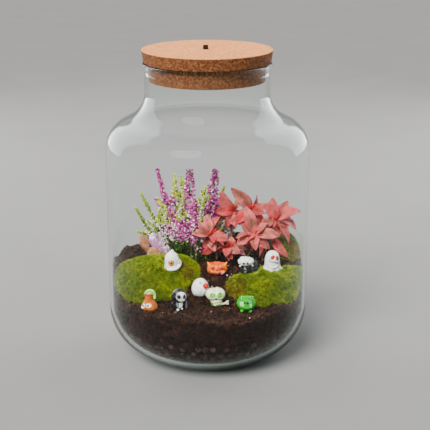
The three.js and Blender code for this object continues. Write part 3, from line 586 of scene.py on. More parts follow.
def set_stage():
    scene = bpy.context.scene
    world = bpy.data.worlds.new("studio")
    scene.world = world
    world.use_nodes = True
    background = world.node_tree.nodes["Background"]
    background.inputs["Color"].default_value = (0.86, 0.88, 0.92, 1)
    background.inputs["Strength"].default_value = SKY_POWER
    paint = Paint("pale_floor", Roughness=0.9, Specular_IOR_Level=0.1)
    mottle = paint.noise(120, 3)
    tint = paint.ramp(mottle, (0.3, (0.196, 0.194, 0.189, 1)), (0.7, (0.209, 0.206, 0.201, 1)))
    paint.set("Base Color", tint)
    bpy.ops.mesh.primitive_plane_add(size=FLOOR_SIZE, location=(0, 0, -FLOOR_DROP))
    floor = bpy.context.object
    floor.name = "floor"
    floor.data.materials.append(paint.material)
    sun = bpy.data.lights.new("key", "SUN")
    sun.energy = KEY_POWER
    sun.angle = KEY_SOFTNESS
    sun.color = (1.0, 0.985, 0.96)
    key = bpy.data.objects.new("key", sun)
    bpy.context.collection.objects.link(key)
    key.matrix_world = look((-0.5, -0.78, 1.15), (0, 0, 0))
    key.visible_glossy = False
    for side in (-1, 1):
        place = (0.82 * side, 0.72, 0.66)
        add_light("side_box", place, (0, 0, 0.15), (1.0, 1.3), SIDE_POWER, (0.96, 0.98, 1.0))


set_camera()
set_stage()

# ---- Glass jar ----


def glass_paint():
    tint = (0.985, 0.993, 0.99, 1)
    paint = Paint("clear_glass", Base_Color=tint, Roughness=0.0, IOR=1.22, Transmission_Weight=1.0)
    clear = paint.fed("ShaderNodeBsdfTransparent", Color=(0.97, 0.98, 0.975, 1))
    ray = paint.node("ShaderNodeLightPath")
    passing = paint.math("MAXIMUM", ray.outputs["Is Shadow Ray"], ray.outputs["Is Diffuse Ray"])
    either = paint.node("ShaderNodeMixShader")
    paint.feed(either.inputs["Fac"], passing)
    paint.feed(either.inputs[1], paint.shader.outputs["BSDF"])
    paint.feed(either.inputs[2], clear.outputs["BSDF"])
    paint.feed(paint.output.inputs["Surface"], either.outputs["Shader"])
    depth = paint.fed("ShaderNodeVolumeAbsorption", Color=(0.50, 0.76, 0.68, 1), Density=20)
    paint.feed(paint.output.inputs["Volume"], depth.outputs["Volume"])
    return paint.material


def jar():
    shoulder = (BODY_RADIUS - SHOULDER_RADIUS, WALL_TOP)
    throat = (NECK_RADIUS + THROAT_RADIUS, NECK_BOTTOM)
    punt = [(0, 1.2), (20, 1.1), (36, 0.6), (43, 0.0)]
    heel = arc((HEEL_CENTRE[0], HEEL_RADIUS), HEEL_RADIUS, -math.pi / 2, 0, 26)
    rim_centre = (LIP_RADIUS - 1.3, RIM_TOP - 1.4)
    outside = [
        *punt,
        *heel,
        *[(BODY_RADIUS, height) for height in (75, 110, 145, 180)],
        *arc(shoulder, SHOULDER_RADIUS, 0, SHOULDER_TURN, 16),
        *arc(throat, THROAT_RADIUS, math.pi + SHOULDER_TURN, math.pi, 14),
        (NECK_RADIUS, RIM_TOP - LIP_HEIGHT - 8),
        (NECK_RADIUS, RIM_TOP - LIP_HEIGHT),
        (NECK_RADIUS + 0.3, RIM_TOP - LIP_HEIGHT + 0.4),
        *arc(rim_centre, 1.3, -0.9, math.pi / 2, 6),
    ]
    inside = [
        (NECK_RADIUS - GLASS_WALL + 0.5, RIM_TOP - 0.05),
        (NECK_RADIUS - GLASS_WALL, RIM_TOP - 0.6),
        (NECK_RADIUS - GLASS_WALL, RIM_TOP - 10),
        *arc(throat, THROAT_RADIUS + GLASS_WALL, math.pi, math.pi + SHOULDER_TURN, 14),
        *arc(shoulder, SHOULDER_RADIUS - GLASS_WALL, SHOULDER_TURN, 0, 16),
        *[(BODY_RADIUS - GLASS_WALL, height) for height in (180, 145, 110, 75)],
        *arc(HEEL_CENTRE, HEEL_RADIUS - GLASS_WALL, 0, -math.pi / 2, 26),
        (30, GLASS_FLOOR),
        (0, GLASS_FLOOR),
    ]
    heap = Heap()
    heap.add(*turned(outside + inside, JAR_SIDES))
    heap.piece("glass_jar_smooth", [glass_paint()], "glass", ["glass_jar"])


jar()

# ---- Cork lid and its block ----


def cork_paint():
    paint = Paint("pressed_cork", Roughness=0.9, Specular_IOR_Level=0.25)
    # The upright faces (side and plug) take tints about half as bright as the top's: painted shade on the
    # sides. The dark seams and flecks are the cork's own, made stronger there as more painted shade.
    side = paint.attribute("tip")
    grain = paint.cells(1.5, output="Color")
    places = (0.1, 0.5, 0.8, 0.97)
    top_tints = (srgb(202, 126, 70), srgb(224, 144, 84), srgb(236, 164, 102), srgb(180, 102, 52))
    shaded_side_tints = (srgb(98, 56, 32), srgb(130, 80, 48), srgb(158, 104, 66), srgb(64, 34, 18))
    top_tint = paint.ramp(grain, *zip(places, top_tints))
    tint = paint.mix(side, top_tint, paint.ramp(grain, *zip(places, shaded_side_tints)))
    patches = paint.ramp(paint.noise(9, 4, 0.6), (0.3, 0.86), (0.7, 1.05))
    tint = paint.darkened(tint, patches)
    seams = paint.cells(1.5, feature="DISTANCE_TO_EDGE")
    dark = paint.ramp(seams, (0.0, 0.6), (0.12, 1.0))
    tint = paint.mix(paint.math("ADD", paint.times(side, 0.35), 0.3), tint, dark, "MULTIPLY")
    flecks = paint.ramp(paint.noise(0.9, 3, 0.7), (0.58, 0.0), (0.68, 1.0))
    fleck_share = paint.times(flecks, paint.math("ADD", paint.times(side, 0.55), 0.16))
    paint.set("Base Color", paint.mix(fleck_share, tint, srgb(66, 36, 20)))
    lumps = paint.math("ADD", paint.noise(0.7, 4, 0.65), paint.math("MULTIPLY", seams, 2.0, clamp=True))
    paint.bump(lumps, 0.5, 0.8)
    return paint.material


def lid():
    """The cork, roughened by the pits and grains of its cut face."""
    plug = NECK_RADIUS - GLASS_WALL - GAP
    bottom = RIM_TOP - PLUG_DEPTH
    plug_climb, edge_climb = PLUG_DEPTH - 0.9, LID_THICKNESS - 1.2
    outline = [
        (0, bottom),
        *[(radius, bottom) for radius in np.arange(3, plug - PLUG_TAPER - 1, 3.0)],
        *arc((plug - PLUG_TAPER - 0.8, bottom + 0.8), 0.8, -math.pi / 2, 0, 2),
        *[(plug - PLUG_TAPER * (1 - t), bottom + 0.8 + plug_climb * t) for t in np.linspace(0.08, 1, 14)],
        (plug + 0.2, RIM_TOP + 0.02),
        *arc((LID_EDGE_RADIUS - 0.5, RIM_TOP + 0.52), 0.5, -math.pi / 2, 0, 2),
        *[(LID_EDGE_RADIUS + 1.6 * t, RIM_TOP + 0.5 + edge_climb * t) for t in np.linspace(0.1, 1, 14)],
        *arc((LID_TOP_RADIUS - 0.7, LID_TOP - 0.7), 0.7, 0.3, math.pi / 2, 3),
        *[(radius, LID_TOP) for radius in np.arange(LID_TOP_RADIUS - 2, 2, -1.4)],
        (0, LID_TOP),
    ]
    points, faces = turned(outline, LID_SIDES)
    out = np.hypot(points[:, 0], points[:, 1])
    upright = ((points[:, 2] > bottom + 0.5) & (points[:, 2] < LID_TOP - 0.5)).astype(float)
    pits = np.clip(noise_at(points, 1.9, 1) - 0.25, 0, 1) * 1.1
    pits = pits + np.clip(noise_at(points, 0.9, 2), 0, 1) * 0.35
    away = np.column_stack([points[:, 0] / (out + 1e-6), points[:, 1] / (out + 1e-6), np.zeros(len(out))])
    points -= away * (pits * upright * 0.55)[:, None]
    top = points[:, 2] > LID_TOP - 0.05
    recess_half = BLOCK_SIZE / 2 + 0.4
    recess = (np.abs(points[:, 0] - BLOCK_OFFSET) < recess_half) & (np.abs(points[:, 1]) < recess_half)
    points[:, 2] -= np.where(top, np.clip(noise_at(points, 1.6, 3) - 0.3, 0, 1) * 0.35, 0)
    points[:, 2] -= np.where(top & recess, 0.35, 0)
    heap = Heap()
    # Upright faces are marked so that the cork paint darkens them: painted shade on the side and plug.
    heap.add(points, faces, tip=upright)
    heap.piece("cork_lid_grained", [cork_paint()], "cork", ["cork_lid"])


def rounded_box(size, middle, round_off, dish):
    """A box with rounded edges and a shallow dish in its top."""
    box = bmesh.new()
    bmesh.ops.create_cube(box, size=1.0)
    bmesh.ops.scale(box, vec=Vector(size), verts=box.verts)
    bmesh.ops.bevel(box, geom=box.edges[:], offset=round_off, segments=3, affect="EDGES", profile=0.5)
    top = max(box.faces, key=lambda face: face.calc_center_median().z)
    bmesh.ops.inset_individual(box, faces=[top], thickness=0.5, depth=0.0)
    bmesh.ops.inset_individual(box, faces=[top], thickness=0.15, depth=-dish)
    bmesh.ops.translate(box, vec=Vector(middle), verts=box.verts)
    return triangles_of(box)


def block():
    paint = Paint("black_satin", Roughness=0.4)
    wear = paint.noise(0.8, 5, 0.7)
    paint.set("Base Color", paint.ramp(wear, (0.3, srgb(10, 9, 9)), (0.8, srgb(26, 23, 22))))
    paint.set("Roughness", paint.ramp(wear, (0.3, 0.34), (0.8, 0.55)))
    paint.bump(wear, 0.05)
    middle = (BLOCK_OFFSET, 0, LID_TOP - BLOCK_DEPTH + BLOCK_HEIGHT / 2)
    heap = Heap()
    heap.add(*rounded_box((BLOCK_SIZE, BLOCK_SIZE, BLOCK_HEIGHT), middle, 0.45, 0.5))
    heap.piece("lid_block_moulded", [paint.material], "black_plastic", ["lid_block"], smooth=False)


lid()
block()

# ---- Soil and pebbles ----


def soil_paint():
    paint = Paint("dark_soil", Roughness=0.95, Specular_IOR_Level=0.2)
    lumps = paint.noise(4, 5, 0.65)
    fine = paint.noise(0.7, 3, 0.7)
    tint = paint.ramp(
        paint.math("ADD", paint.times(lumps, 0.55), paint.times(fine, 0.45)),
        (0.38, srgb(6, 3, 1)),
        (0.48, srgb(25, 11, 5)),
        (0.57, srgb(60, 29, 17)),
        (0.68, srgb(126, 76, 50)),
    )
    # Low tone darkens the soil to near black: painted shade in its hollows, in the dents of its wall and
    # on the wall against the glass.
    tint = paint.mix(paint.attribute("tone"), srgb(5, 3, 2), tint)
    paint.set("Base Color", tint)
    paint.bump(fine, 0.6, 1.0)
    return paint.material


def fibre_paint():
    paint = Paint("dry_fibre", Roughness=0.8)
    tone = paint.attribute("tone")
    tint = paint.ramp(tone, (0.0, srgb(44, 26, 18)), (0.7, srgb(96, 62, 44)), (1.0, srgb(190, 156, 104)))
    paint.set("Base Color", tint)
    paint.bump(paint.noise(0.4), 0.1)
    return paint.material


def clay_paint():
    paint = Paint("fired_clay_balls", Roughness=0.85)
    tint = paint.ramp(
        paint.noise(2.2, 5, 0.65),
        (0.3, srgb(48, 29, 24)),
        (0.5, srgb(80, 53, 44)),
        (0.7, srgb(110, 78, 67)),
    )
    tint = paint.mix(paint.attribute("tone"), srgb(38, 23, 18), tint)
    dust = paint.ramp(paint.noise(0.9, 4, 0.7), (0.55, 0.0), (0.7, 0.45))
    paint.set("Base Color", paint.mix(dust, tint, srgb(48, 32, 25)))
    pores = paint.math("ADD", paint.cells(0.7), paint.noise(1.2, 4))
    paint.bump(pores, 0.35, 0.7)
    return paint.material


def heel_radius(height):
    """The jar's inner radius at a height, less the gap."""
    drop = np.clip(HEEL_CENTRE[1] - np.asarray(height, float), 0, None)
    return HEEL_CENTRE[0] + np.sqrt(np.maximum((HEEL_RADIUS - GLASS_WALL) ** 2 - drop**2, 0)) - GAP


def clay_balls(rng):
    """Middles and radii of clay balls which touch the glass but not each other."""
    placed = []
    for _ in range(BALL_TRIES):
        height = rng.uniform(GLASS_FLOOR + 4.5, BALLS_TOP)
        radius = rng.uniform(3.6, 5.8) * (0.85 if height > 29 else 1)
        angle = rng.uniform(0, TURN)
        inner = HEEL_RADIUS - GLASS_WALL - GAP - radius * 1.03
        drop = max(HEEL_CENTRE[1] - height, 0)
        if inner <= drop or (height > 29 and rng.uniform() < 0.6):
            continue
        middle = np.array([*polar(HEEL_CENTRE[0] + math.sqrt(inner**2 - drop**2), angle), height])
        if all(np.linalg.norm(middle - other) > 0.84 * (radius + size) for other, size in placed):
            placed.append((middle, radius))
    return placed


BALLS = clay_balls(np.random.default_rng(8))
ANGLES = round_angles(AROUND)


def clods(points, depth):
    """How far crumbly soil stands back from its outline."""
    broad = noise_at(points, 5.5, 4)
    middle = noise_at(points, 2.3, 5)
    fine = noise_at(points, 1.1, 6)
    return depth * np.clip(0.30 + 0.75 * broad + 0.55 * middle + 0.3 * fine, 0, 1.3)


def pockets(points):
    """How far the soil stands back round the clay balls."""
    back = np.zeros(len(points))
    if points[:, 2].min() > BALLS_TOP + 8:
        return back
    for middle, radius in BALLS:
        apart = np.linalg.norm(points - middle, axis=1) / radius
        back = np.maximum(back, POCKET_DEPTH * (1 - smooth_step(1.05, 1.4, apart)))
    return back


def crumbly_ring(height, outline, depth):
    """A ring of the wall, its outline eaten away, with how bright its points are: the further a point is
    eaten back, the darker it is, as painted shade in the hollows.
    """
    points = ring_at(outline, ANGLES, height)
    back = clods(points, depth)
    tone = 1 - 0.92 * np.clip(back / depth, 0, 1)
    back = back + pockets(points)
    return ring_at(outline - back, ANGLES, height), tone


def add_rings(heap, rings):
    """A body through rings that each come with how bright their points are."""
    points, faces = ring_body([ring for ring, _ in rings])
    heap.add(points, faces, tone=np.concatenate([tone for _, tone in rings] + [[0.5, 0.5]]))


def strew(heap, shape, places, size, rng, tones=None):
    """Uneven crumbs of a shape, turned at random; tones is the range of their brightness."""
    sizes = size[:, None] * rng.uniform(0.6, 1, (len(size), 3))
    frames = frames_along(rng.normal(size=(len(size), 3)), rng)
    tone = rng.uniform(*tones, len(size)) if tones else np.ones(len(size))
    stamp(heap, shape, places, frames, sizes, tone)


def soil_outline(height, top):
    """The soil's radius behind the glass, which goes in and out between big lumps."""
    upright = HEEL_CENTRE[1]
    levels = [PEBBLE_TOP + GAP, upright - (HEEL_RADIUS - GLASS_WALL) * math.cos(math.radians(72)), upright]
    climb = 2 + 3 * (height - upright) / (top - upright)
    rank = np.where(height < upright, np.interp(height, levels, [0, 1, 2]), climb)
    row = np.clip(np.floor(rank), 0, 4)
    dents = [0.5 * (1 - np.cos(SOIL_LUMPS * ANGLES + math.pi * (row + step))) for step in (0, 1)]
    between = smooth_step(0, 1, rank - row)
    dent = dents[0] + (dents[1] - dents[0]) * between
    return heel_radius(height) - WALL_DENT * np.sin(math.pi * rank / 5) * dent, dent


def top_heights(x, y):
    """The crumbly soil's height at each place, and how far it is above or below the slope."""
    points = np.column_stack([x, y, np.zeros(len(x))])
    rough = 1.5 * noise_at(points, 6, 7) + 1.4 * noise_at(points, 2.9, 8) + 0.6 * noise_at(points, 1.2, 9)
    return pressed(x, y, soil_height(x, y) + rough), rough


def soil(crumbs, rng):
    edge_x, edge_y = polar(ROOM_RADIUS, ANGLES)
    edge, _ = top_heights(edge_x, edge_y)
    rings = []
    for share in np.linspace(0, 1, WALL_ROWS):
        height = PEBBLE_TOP + GAP + (edge - EDGE_DROP - PEBBLE_TOP - GAP) * share
        outline, dent = soil_outline(height, edge - EDGE_DROP)
        ring, tone = crumbly_ring(height, outline, WALL_CRUMBLE)
        # The wall is darker than the top, and darker again in its dents: painted shade.
        rings.append((ring, tone * (0.72 - 0.3 * dent)))
    for radius in np.concatenate([np.linspace(ROOM_RADIUS - 0.9, 6, TOP_ROWS), [3, 1]]):
        x, y = polar(radius, ANGLES)
        height, rough = top_heights(x, y)
        # The top is darker in its hollows and lighter on its rises: painted shade.
        rings.append((np.column_stack([x, y, height]), np.clip(0.75 + 0.35 * rough, 0.1, 1)))
    heap = Heap()
    add_rings(heap, rings)
    heap.piece("soil_crumbly", [soil_material], "soil", ["soil"])
    heap = Heap()
    scatter_crumbs(heap, crumbs, rng)
    heap.piece("soil_crumbs", [soil_material], "soil", ["soil"], smooth=False)


def scatter_crumbs(heap, shapes, rng):
    """Crumbs lying on the soil and pressed against the glass."""
    for shape in shapes:
        count = TOP_CRUMBS
        out = ROOM_RADIUS * np.sqrt(rng.uniform(0.02, 1, count))
        out = np.where(rng.uniform(0, 1, count) < 0.3, rng.uniform(84, ROOM_RADIUS - 1.2, count), out)
        x, y = polar(out, rng.uniform(0, TURN, count))
        size = 0.5 + 1.9 * rng.uniform(0, 1, count) ** 3
        out = np.minimum(np.hypot(x, y), ROOM_RADIUS - size)
        x, y = polar(out, np.arctan2(y, x))
        height, _ = top_heights(x, y)
        strew(heap, shape, np.column_stack([x, y, height + 0.2 * size]), size, rng, (0.55, 1))
        count = WALL_CRUMBS
        angle = rng.uniform(0, TURN, count)
        top = soil_height(*polar(ROOM_RADIUS, angle))
        height = rng.uniform(PEBBLE_TOP - 14, top - 0.5)
        size = 0.6 + 2.0 * rng.uniform(0, 1, count) ** 3
        places = ring_at(heel_radius(height) - size * 0.95, angle, height)
        # Crumbs against the glass are given darker tones than those on top: painted shade on the soil's
        # wall.
        strew(heap, shape, places, size, rng, (0.15, 0.8))


def fibres(rng):
    """Fine dry roots on the soil, thickest along the glass, and a few straws by the rear moss."""
    heap = Heap()
    for i in range(FIBRES):
        angle = rng.uniform(0, TURN)
        out = rng.uniform(80, 92.5) if i % 3 else 92 * math.sqrt(rng.uniform(0.02, 1))
        x, y = polar(out, angle)
        way = angle + math.pi / 2 + rng.normal(0, 0.8)
        length = rng.uniform(3, 11)
        line = []
        for t in np.linspace(-0.5, 0.5, 5):
            px = x + length * t * math.cos(way + 1.2 * t)
            py = y + length * t * math.sin(way + 1.2 * t)
            reach = math.hypot(px, py)
            if reach > FIBRE_REACH:
                px, py = px * FIBRE_REACH / reach, py * FIBRE_REACH / reach
            rise = 0.5 + rng.uniform(-0.2, 1.0)
            line.append((px, py, float(pressed(px, py, soil_height(px, py))) + rise))
        heap.add(*tube(line, rng.uniform(0.1, 0.2), 4), tone=rng.uniform(0, 0.8))
    for _ in range(WALL_FIBRES):
        angle = rng.uniform(0, TURN)
        top = float(soil_height(*polar(ROOM_RADIUS, angle)))
        height = rng.uniform(32, top)
        line = []
        for t in np.linspace(-0.5, 0.5, 6):
            turn = angle + 0.05 * t * math.cos(7 * height)
            level = height + 6 * t * math.sin(7 * height)
            px, py = polar(float(heel_radius(level)) - 0.35, turn)
            line.append((px, py, level))
        heap.add(*tube(line, rng.uniform(0.1, 0.17), 4), tone=rng.uniform(0.1, 0.7))
    for _ in range(STRAWS):
        x, y = 90 + rng.normal(0, 1.2), 14 + rng.normal(0, 7)
        reach = min(1, 91.5 / math.hypot(x, y))
        foot = np.array([x * reach, y * reach, float(soil_height(x, y)) + 0.3])
        lean = np.array([rng.normal(0, 3.0), rng.normal(0, 3.0), rng.uniform(3, 9)])
        tip = foot + lean
        reach = min(1, 93.3 / math.hypot(tip[0], tip[1]))
        tip[:2] *= reach
        line = [foot, (foot + tip) / 2 + (0, 0, 0.6), tip]
        heap.add(*tube(line, [0.3, 0.22, 0.1], 5), tone=rng.uniform(0.75, 1))
    heap.piece("soil_fibres", [fibre_paint()], "soil", ["soil"])


def perlite(shapes, rng):
    """White grains between the figures, and a few elsewhere."""
    spots = [
        (18, 2), (15, 3), (22, -13), (6, -20), (4, -26), (20, 5), (12, 6), (-2, -14), (24, -4), (10, -25),
    ]
    extra = [(rng.uniform(-60, 60), rng.uniform(-78, 60)) for _ in range(26)]
    spots = np.array(spots + extra)
    x, y = spots[:, 0] + rng.normal(0, 1, len(spots)), spots[:, 1] + rng.normal(0, 1, len(spots))
    height, _ = top_heights(x, y)
    size = rng.uniform(0.45, 1.0, len(spots))
    heap = Heap()
    strew(heap, shapes[0], np.column_stack([x, y, height + 0.4 * size]), size, rng)
    paint = Paint("perlite", Roughness=0.8)
    tint = paint.ramp(paint.noise(0.6), (0.3, srgb(190, 184, 172)), (0.7, srgb(238, 236, 228)))
    paint.set("Base Color", tint)
    paint.bump(paint.noise(0.4), 0.2)
    heap.piece("soil_perlite", [paint.material], "soil", ["soil"], smooth=False)


def pebbles(rng):
    """The drainage layer: clay balls against the glass with soil washed in between them."""
    heap = Heap()
    levels = GLASS_FLOOR + 0.4 + (PEBBLE_TOP - GLASS_FLOOR - 0.4) * np.linspace(0, 1, BED_ROWS) ** 1.5
    # The fill is darker where it is eaten back: painted shade, as in the soil's wall.
    add_rings(heap, [crumbly_ring(height, heel_radius(height) - 0.9, BED_CRUMBLE) for height in levels])
    for shape in crumb_shapes(rng, 1, 3, 0.25):
        count = BED_CRUMBS
        angle = rng.uniform(0, TURN, count)
        height = rng.uniform(GLASS_FLOOR + 3.5, PEBBLE_TOP, count)
        size = 0.5 + 1.1 * rng.uniform(0, 1, count) ** 2
        places = ring_at(heel_radius(height) - size - rng.uniform(0.8, 2.4, count), angle, height)
        strew(heap, shape, places, size, rng, (0.2, 0.8))
    heap.piece("pebble_bed_fill", [soil_material], "soil", ["clay_pebbles"])
    heap = Heap()
    balls, faces = ico(3)
    for number, (middle, radius) in enumerate(BALLS):
        lumps = 1 - 0.10 * np.abs(noise_at(balls, 0.9, number))
        lumps = lumps - 0.05 * np.abs(noise_at(balls, 0.35, number))
        stretch = rng.uniform(0.9, 1.0, 3)
        heap.add(middle + balls * stretch * lumps[:, None] * radius, [faces], tone=rng.uniform(0.35, 1))
    heap.piece("clay_pebbles_rough", [clay_paint()], "fired_clay", ["clay_pebbles"])


soil_material = soil_paint()


def ground():
    rng = np.random.default_rng(7)
    shapes = crumb_shapes(rng, 1, 4, 0.28)
    soil(shapes, rng)
    fibres(rng)
    perlite(shapes, rng)
    pebbles(rng)


ground()

# ---- Moss ----


def moss_paint(name, colors):
    paint = Paint(name, Roughness=0.75, Specular_IOR_Level=0.25)
    patches = paint.noise(14, 4, 0.6)
    leafy = paint.ramp(patches, *zip((0.30, 0.46, 0.62, 0.76), colors))
    leafy = paint.mix(paint.attribute("tone"), leafy, colors[2])
    shade = paint.ramp(paint.noise(3.4, 4, 0.7), (0.37, 0.42), (0.6, 1.12))
    leafy = paint.darkened(leafy, shade)
    # Painted shade: each leaf darkens towards srgb(40, 54, 3) at its foot, and the body under the leaves
    # is half darkened, so the gaps between leaves read as shadow.
    tint = paint.mix(paint.ramp(paint.attribute("tip"), (0.1, 0.0), (0.8, 1.0)), srgb(40, 54, 3), leafy)
    paint.set("Base Color", tint)
    paint.bump(paint.noise(0.7), 0.3, 0.6)
    return paint.material


def spike_shape(segments):
    """A three-sided pointed leaf, slightly bent."""
    rings = []
    for share in np.linspace(0, 1, segments + 1)[:-1]:
        radius = 0.15 * (1 - 0.75 * share)
        bend = 0.22 * share**2
        angles = np.array([0, 2.1, 4.2])
        rings.append(ring_at(radius, angles, share) + (bend, 0, 0))
    points = np.concatenate([*rings, [[0.22, 0, 1.0]]])
    tip = len(points) - 1
    last = 3 * (segments - 1)
    ends = np.array([[last, last + 1, tip], [last + 1, last + 2, tip], [last + 2, last, tip], [2, 1, 0]])
    tips = np.concatenate([np.repeat(np.linspace(0, 1, segments + 1)[:-1], 3), [1.0]])
    return points, [grid_faces(segments, 3), ends], tips


def moss_surface(cushion, x, y):
    points = np.column_stack([x, y, np.zeros(len(x))])
    lumps = 1.5 * noise_at(points, 7, cushion["seed"]) + 0.7 * noise_at(points, 2.8, cushion["seed"] + 3)
    return pressed(x, y, moss_height(cushion, x, y) + lumps)


def inside_glass(x, y, limit):
    out = np.hypot(x, y)
    pull = np.minimum(1, limit / np.maximum(out, 1e-6))
    return x * pull, y * pull


def moss(name, tufts, length, shag):
    cushion = MOSS_CUSHIONS[name]
    rng = np.random.default_rng(round(10 * abs(cushion["seed"])))
    heap = Heap()
    angles = round_angles(MOSS_SIDES)
    rings = []
    for share in np.concatenate([[1.03], np.linspace(1.0, 0.03, MOSS_RINGS)]):
        x = cushion["middle"][0] + share * moss_reach(cushion, angles) * np.cos(angles)
        y = cushion["middle"][1] + share * moss_reach(cushion, angles) * np.sin(angles)
        x, y = inside_glass(x, y, ROOM_RADIUS - 1.2)
        height = moss_surface(cushion, x, y) if share < 1 else soil_height(x, y) - 2
        rings.append(np.column_stack([x, y, height]))
    floor_ring = rings[0] - (0, 0, 3)
    points, faces = ring_body([floor_ring, *rings])
    # The body's tip of 0.42 half darkens it in the moss paint: painted shade between the leaves.
    heap.add(points, faces, tone=0.0, tip=0.42)
    shape = spike_shape(1)
    share = np.sqrt(rng.uniform(0.0, 1.02, tufts))
    angle = rng.uniform(0, TURN, tufts)
    reach = share * moss_reach(cushion, angle)
    x = cushion["middle"][0] + reach * np.cos(angle)
    y = cushion["middle"][1] + reach * np.sin(angle)
    x, y = inside_glass(x, y, ROOM_RADIUS - 0.9)
    step = 0.8
    height = moss_surface(cushion, x, y)
    height = np.maximum(height, soil_height(x, y) - 0.5)
    slope_x = (moss_surface(cushion, x + step, y) - height) / step
    slope_y = (moss_surface(cushion, x, y + step) - height) / step
    normal = np.column_stack([-slope_x, -slope_y, np.ones(tufts)])
    normal = np.where(share[:, None] > 0.97, [[0, 0, 1.0]], normal)
    normal = unit(normal)
    outward = np.column_stack([np.cos(angle), np.sin(angle), np.zeros(tufts)])
    for _ in range(TUFT_LEAVES):
        way = normal + shag * rng.normal(size=(tufts, 3)) + 0.15 * outward * share[:, None]
        way[:, 2] = np.maximum(way[:, 2], 0.02)
        size = length * rng.uniform(0.6, 1.15, tufts)
        places = np.column_stack([x, y, height - 0.45]) + rng.normal(0, 0.35, (tufts, 3)) * (1, 1, 0.3)
        ends = places + unit(way) * size[:, None]
        keep = np.hypot(ends[:, 0], ends[:, 1]) < ROOM_RADIUS - 0.1
        keep &= np.hypot(places[:, 0], places[:, 1]) < ROOM_RADIUS - 0.3
        sizes = np.column_stack([size * 1.05, size * 1.05, size])[keep]
        tone = rng.uniform(0, 0.75, tufts)[keep]
        frames = frames_along(way[keep], rng)
        dry = np.linalg.norm(places[keep, :2] - DRY_MOSS[name][0], axis=1) / DRY_MOSS[name][1]
        dry = dry + 0.3 * noise_at(places[keep], 5, 9) + rng.normal(0, 0.15, len(dry)) < 1
        for paint, part in ((0, ~dry), (1, dry)):
            stamp(heap, shape, places[keep][part], frames[part], sizes[part], tone[part], paint)
    heap.piece(name + "_tufted", moss_materials, "moss", [name], smooth=False)


# Where each cushion has gone brown, and how far round there.
DRY_MOSS = {"moss_left": ((-20, -14), 7), "moss_right": ((27, -31), 12), "moss_rear": ((88, 8), 8)}
moss_materials = [
    moss_paint("moss_green", (srgb(56, 88, 3), srgb(108, 140, 6), srgb(176, 186, 14), srgb(140, 126, 20))),
    moss_paint("moss_dry", (srgb(72, 62, 8), srgb(118, 104, 14), srgb(158, 134, 26), srgb(128, 88, 28))),
]
moss("moss_left", tufts=7400, length=2.4, shag=0.5)
moss("moss_right", tufts=6600, length=2.4, shag=0.5)
moss("moss_rear", tufts=2600, length=3.2, shag=0.65)

# ---- Stones and crystal ----


def stone_paint():
    paint = Paint("tan_stone_worn", Roughness=0.7)
    tint = paint.ramp(
        paint.noise(4.5, 5, 0.6, 0.6),
        (0.3, srgb(136, 82, 54)),
        (0.5, srgb(176, 118, 82)),
        (0.7, srgb(202, 150, 112)),
    )
    veins = paint.ramp(paint.noise(2.0, 6, 0.7, 1.5), (0.47, 0.0), (0.5, 0.5), (0.53, 0.0))
    paint.set("Base Color", paint.mix(veins, tint, srgb(150, 98, 72)))
    paint.bump(paint.noise(0.9, 4, 0.6), 0.3, 0.7)
    return paint.material


def crystal_paint():
    paint = Paint("lilac_crystal_cut", Roughness=0.12, IOR=1.54, Transmission_Weight=0.35)
    clouds = paint.noise(5, 5, 0.6, 1.0)
    tint = paint.ramp(
        clouds, (0.3, srgb(200, 122, 184)), (0.5, srgb(220, 160, 208)), (0.62, srgb(252, 236, 248))
    )
    paint.set("Base Color", tint)
    paint.set("Roughness", paint.ramp(clouds, (0.4, 0.08), (0.7, 0.3)))
    paint.bump(paint.noise(1.6, 3), 0.15, 0.5)
    return paint.material


STONES = {
    "stone_upper": ((-63.5, 24, 101), (4.6, 4.2, 11), 0.35, 0.4),
    "stone_lower": ((-53.5, 13, 93.8), (7.2, 4.6, 7.2), 0.2, 1.9),
}
# The crystal's foot and lean are set a few millimetres from the CAD source's.
CRYSTAL_FOOT = (-41, 22, 85)
CRYSTAL_LEAN = -0.54


def leaning(angle):
    """A turn about Y."""
    c, s = math.cos(angle), math.sin(angle)
    return np.array([[c, 0, s], [0, 1, 0], [-s, 0, c]])


def stones():
    balls, faces = ico(5)
    material = stone_paint()
    for name, (middle, size, lean, seed) in STONES.items():
        flats = unit(np.random.default_rng(int(10 * seed)).normal(size=(9, 3)))
        swell_across = 0.1 * np.sin(3 * balls[:, 0] + seed)
        swell_along = 0.08 * np.sin(4 * balls[:, 2] - 2 * balls[:, 1] + seed)
        points = balls * (1 + swell_across + swell_along)[:, None]
        for flat in flats:
            over = np.maximum(points @ flat - 0.84, 0)
            points -= 0.85 * over[:, None] * flat
        points *= 1.03 + 0.02 * noise_at(points, 0.2, seed)[:, None]
        points = (points * size) @ leaning(-lean).T + middle
        heap = Heap()
        heap.add(points, [faces])
        heap.piece(name + "_worn", [material], "tan_stone", [name])


def faceted_hull(points):
    """The hull round points, its edges bevelled, as flat triangles."""
    body = bmesh.new()
    for point in points:
        body.verts.new(point)
    bmesh.ops.convex_hull(body, input=body.verts)
    loose = [vertex for vertex in body.verts if not vertex.link_faces]
    bmesh.ops.delete(body, geom=loose, context="VERTS")
    bmesh.ops.bevel(body, geom=body.edges[:], offset=0.22, segments=1, affect="EDGES")
    return triangles_of(body)


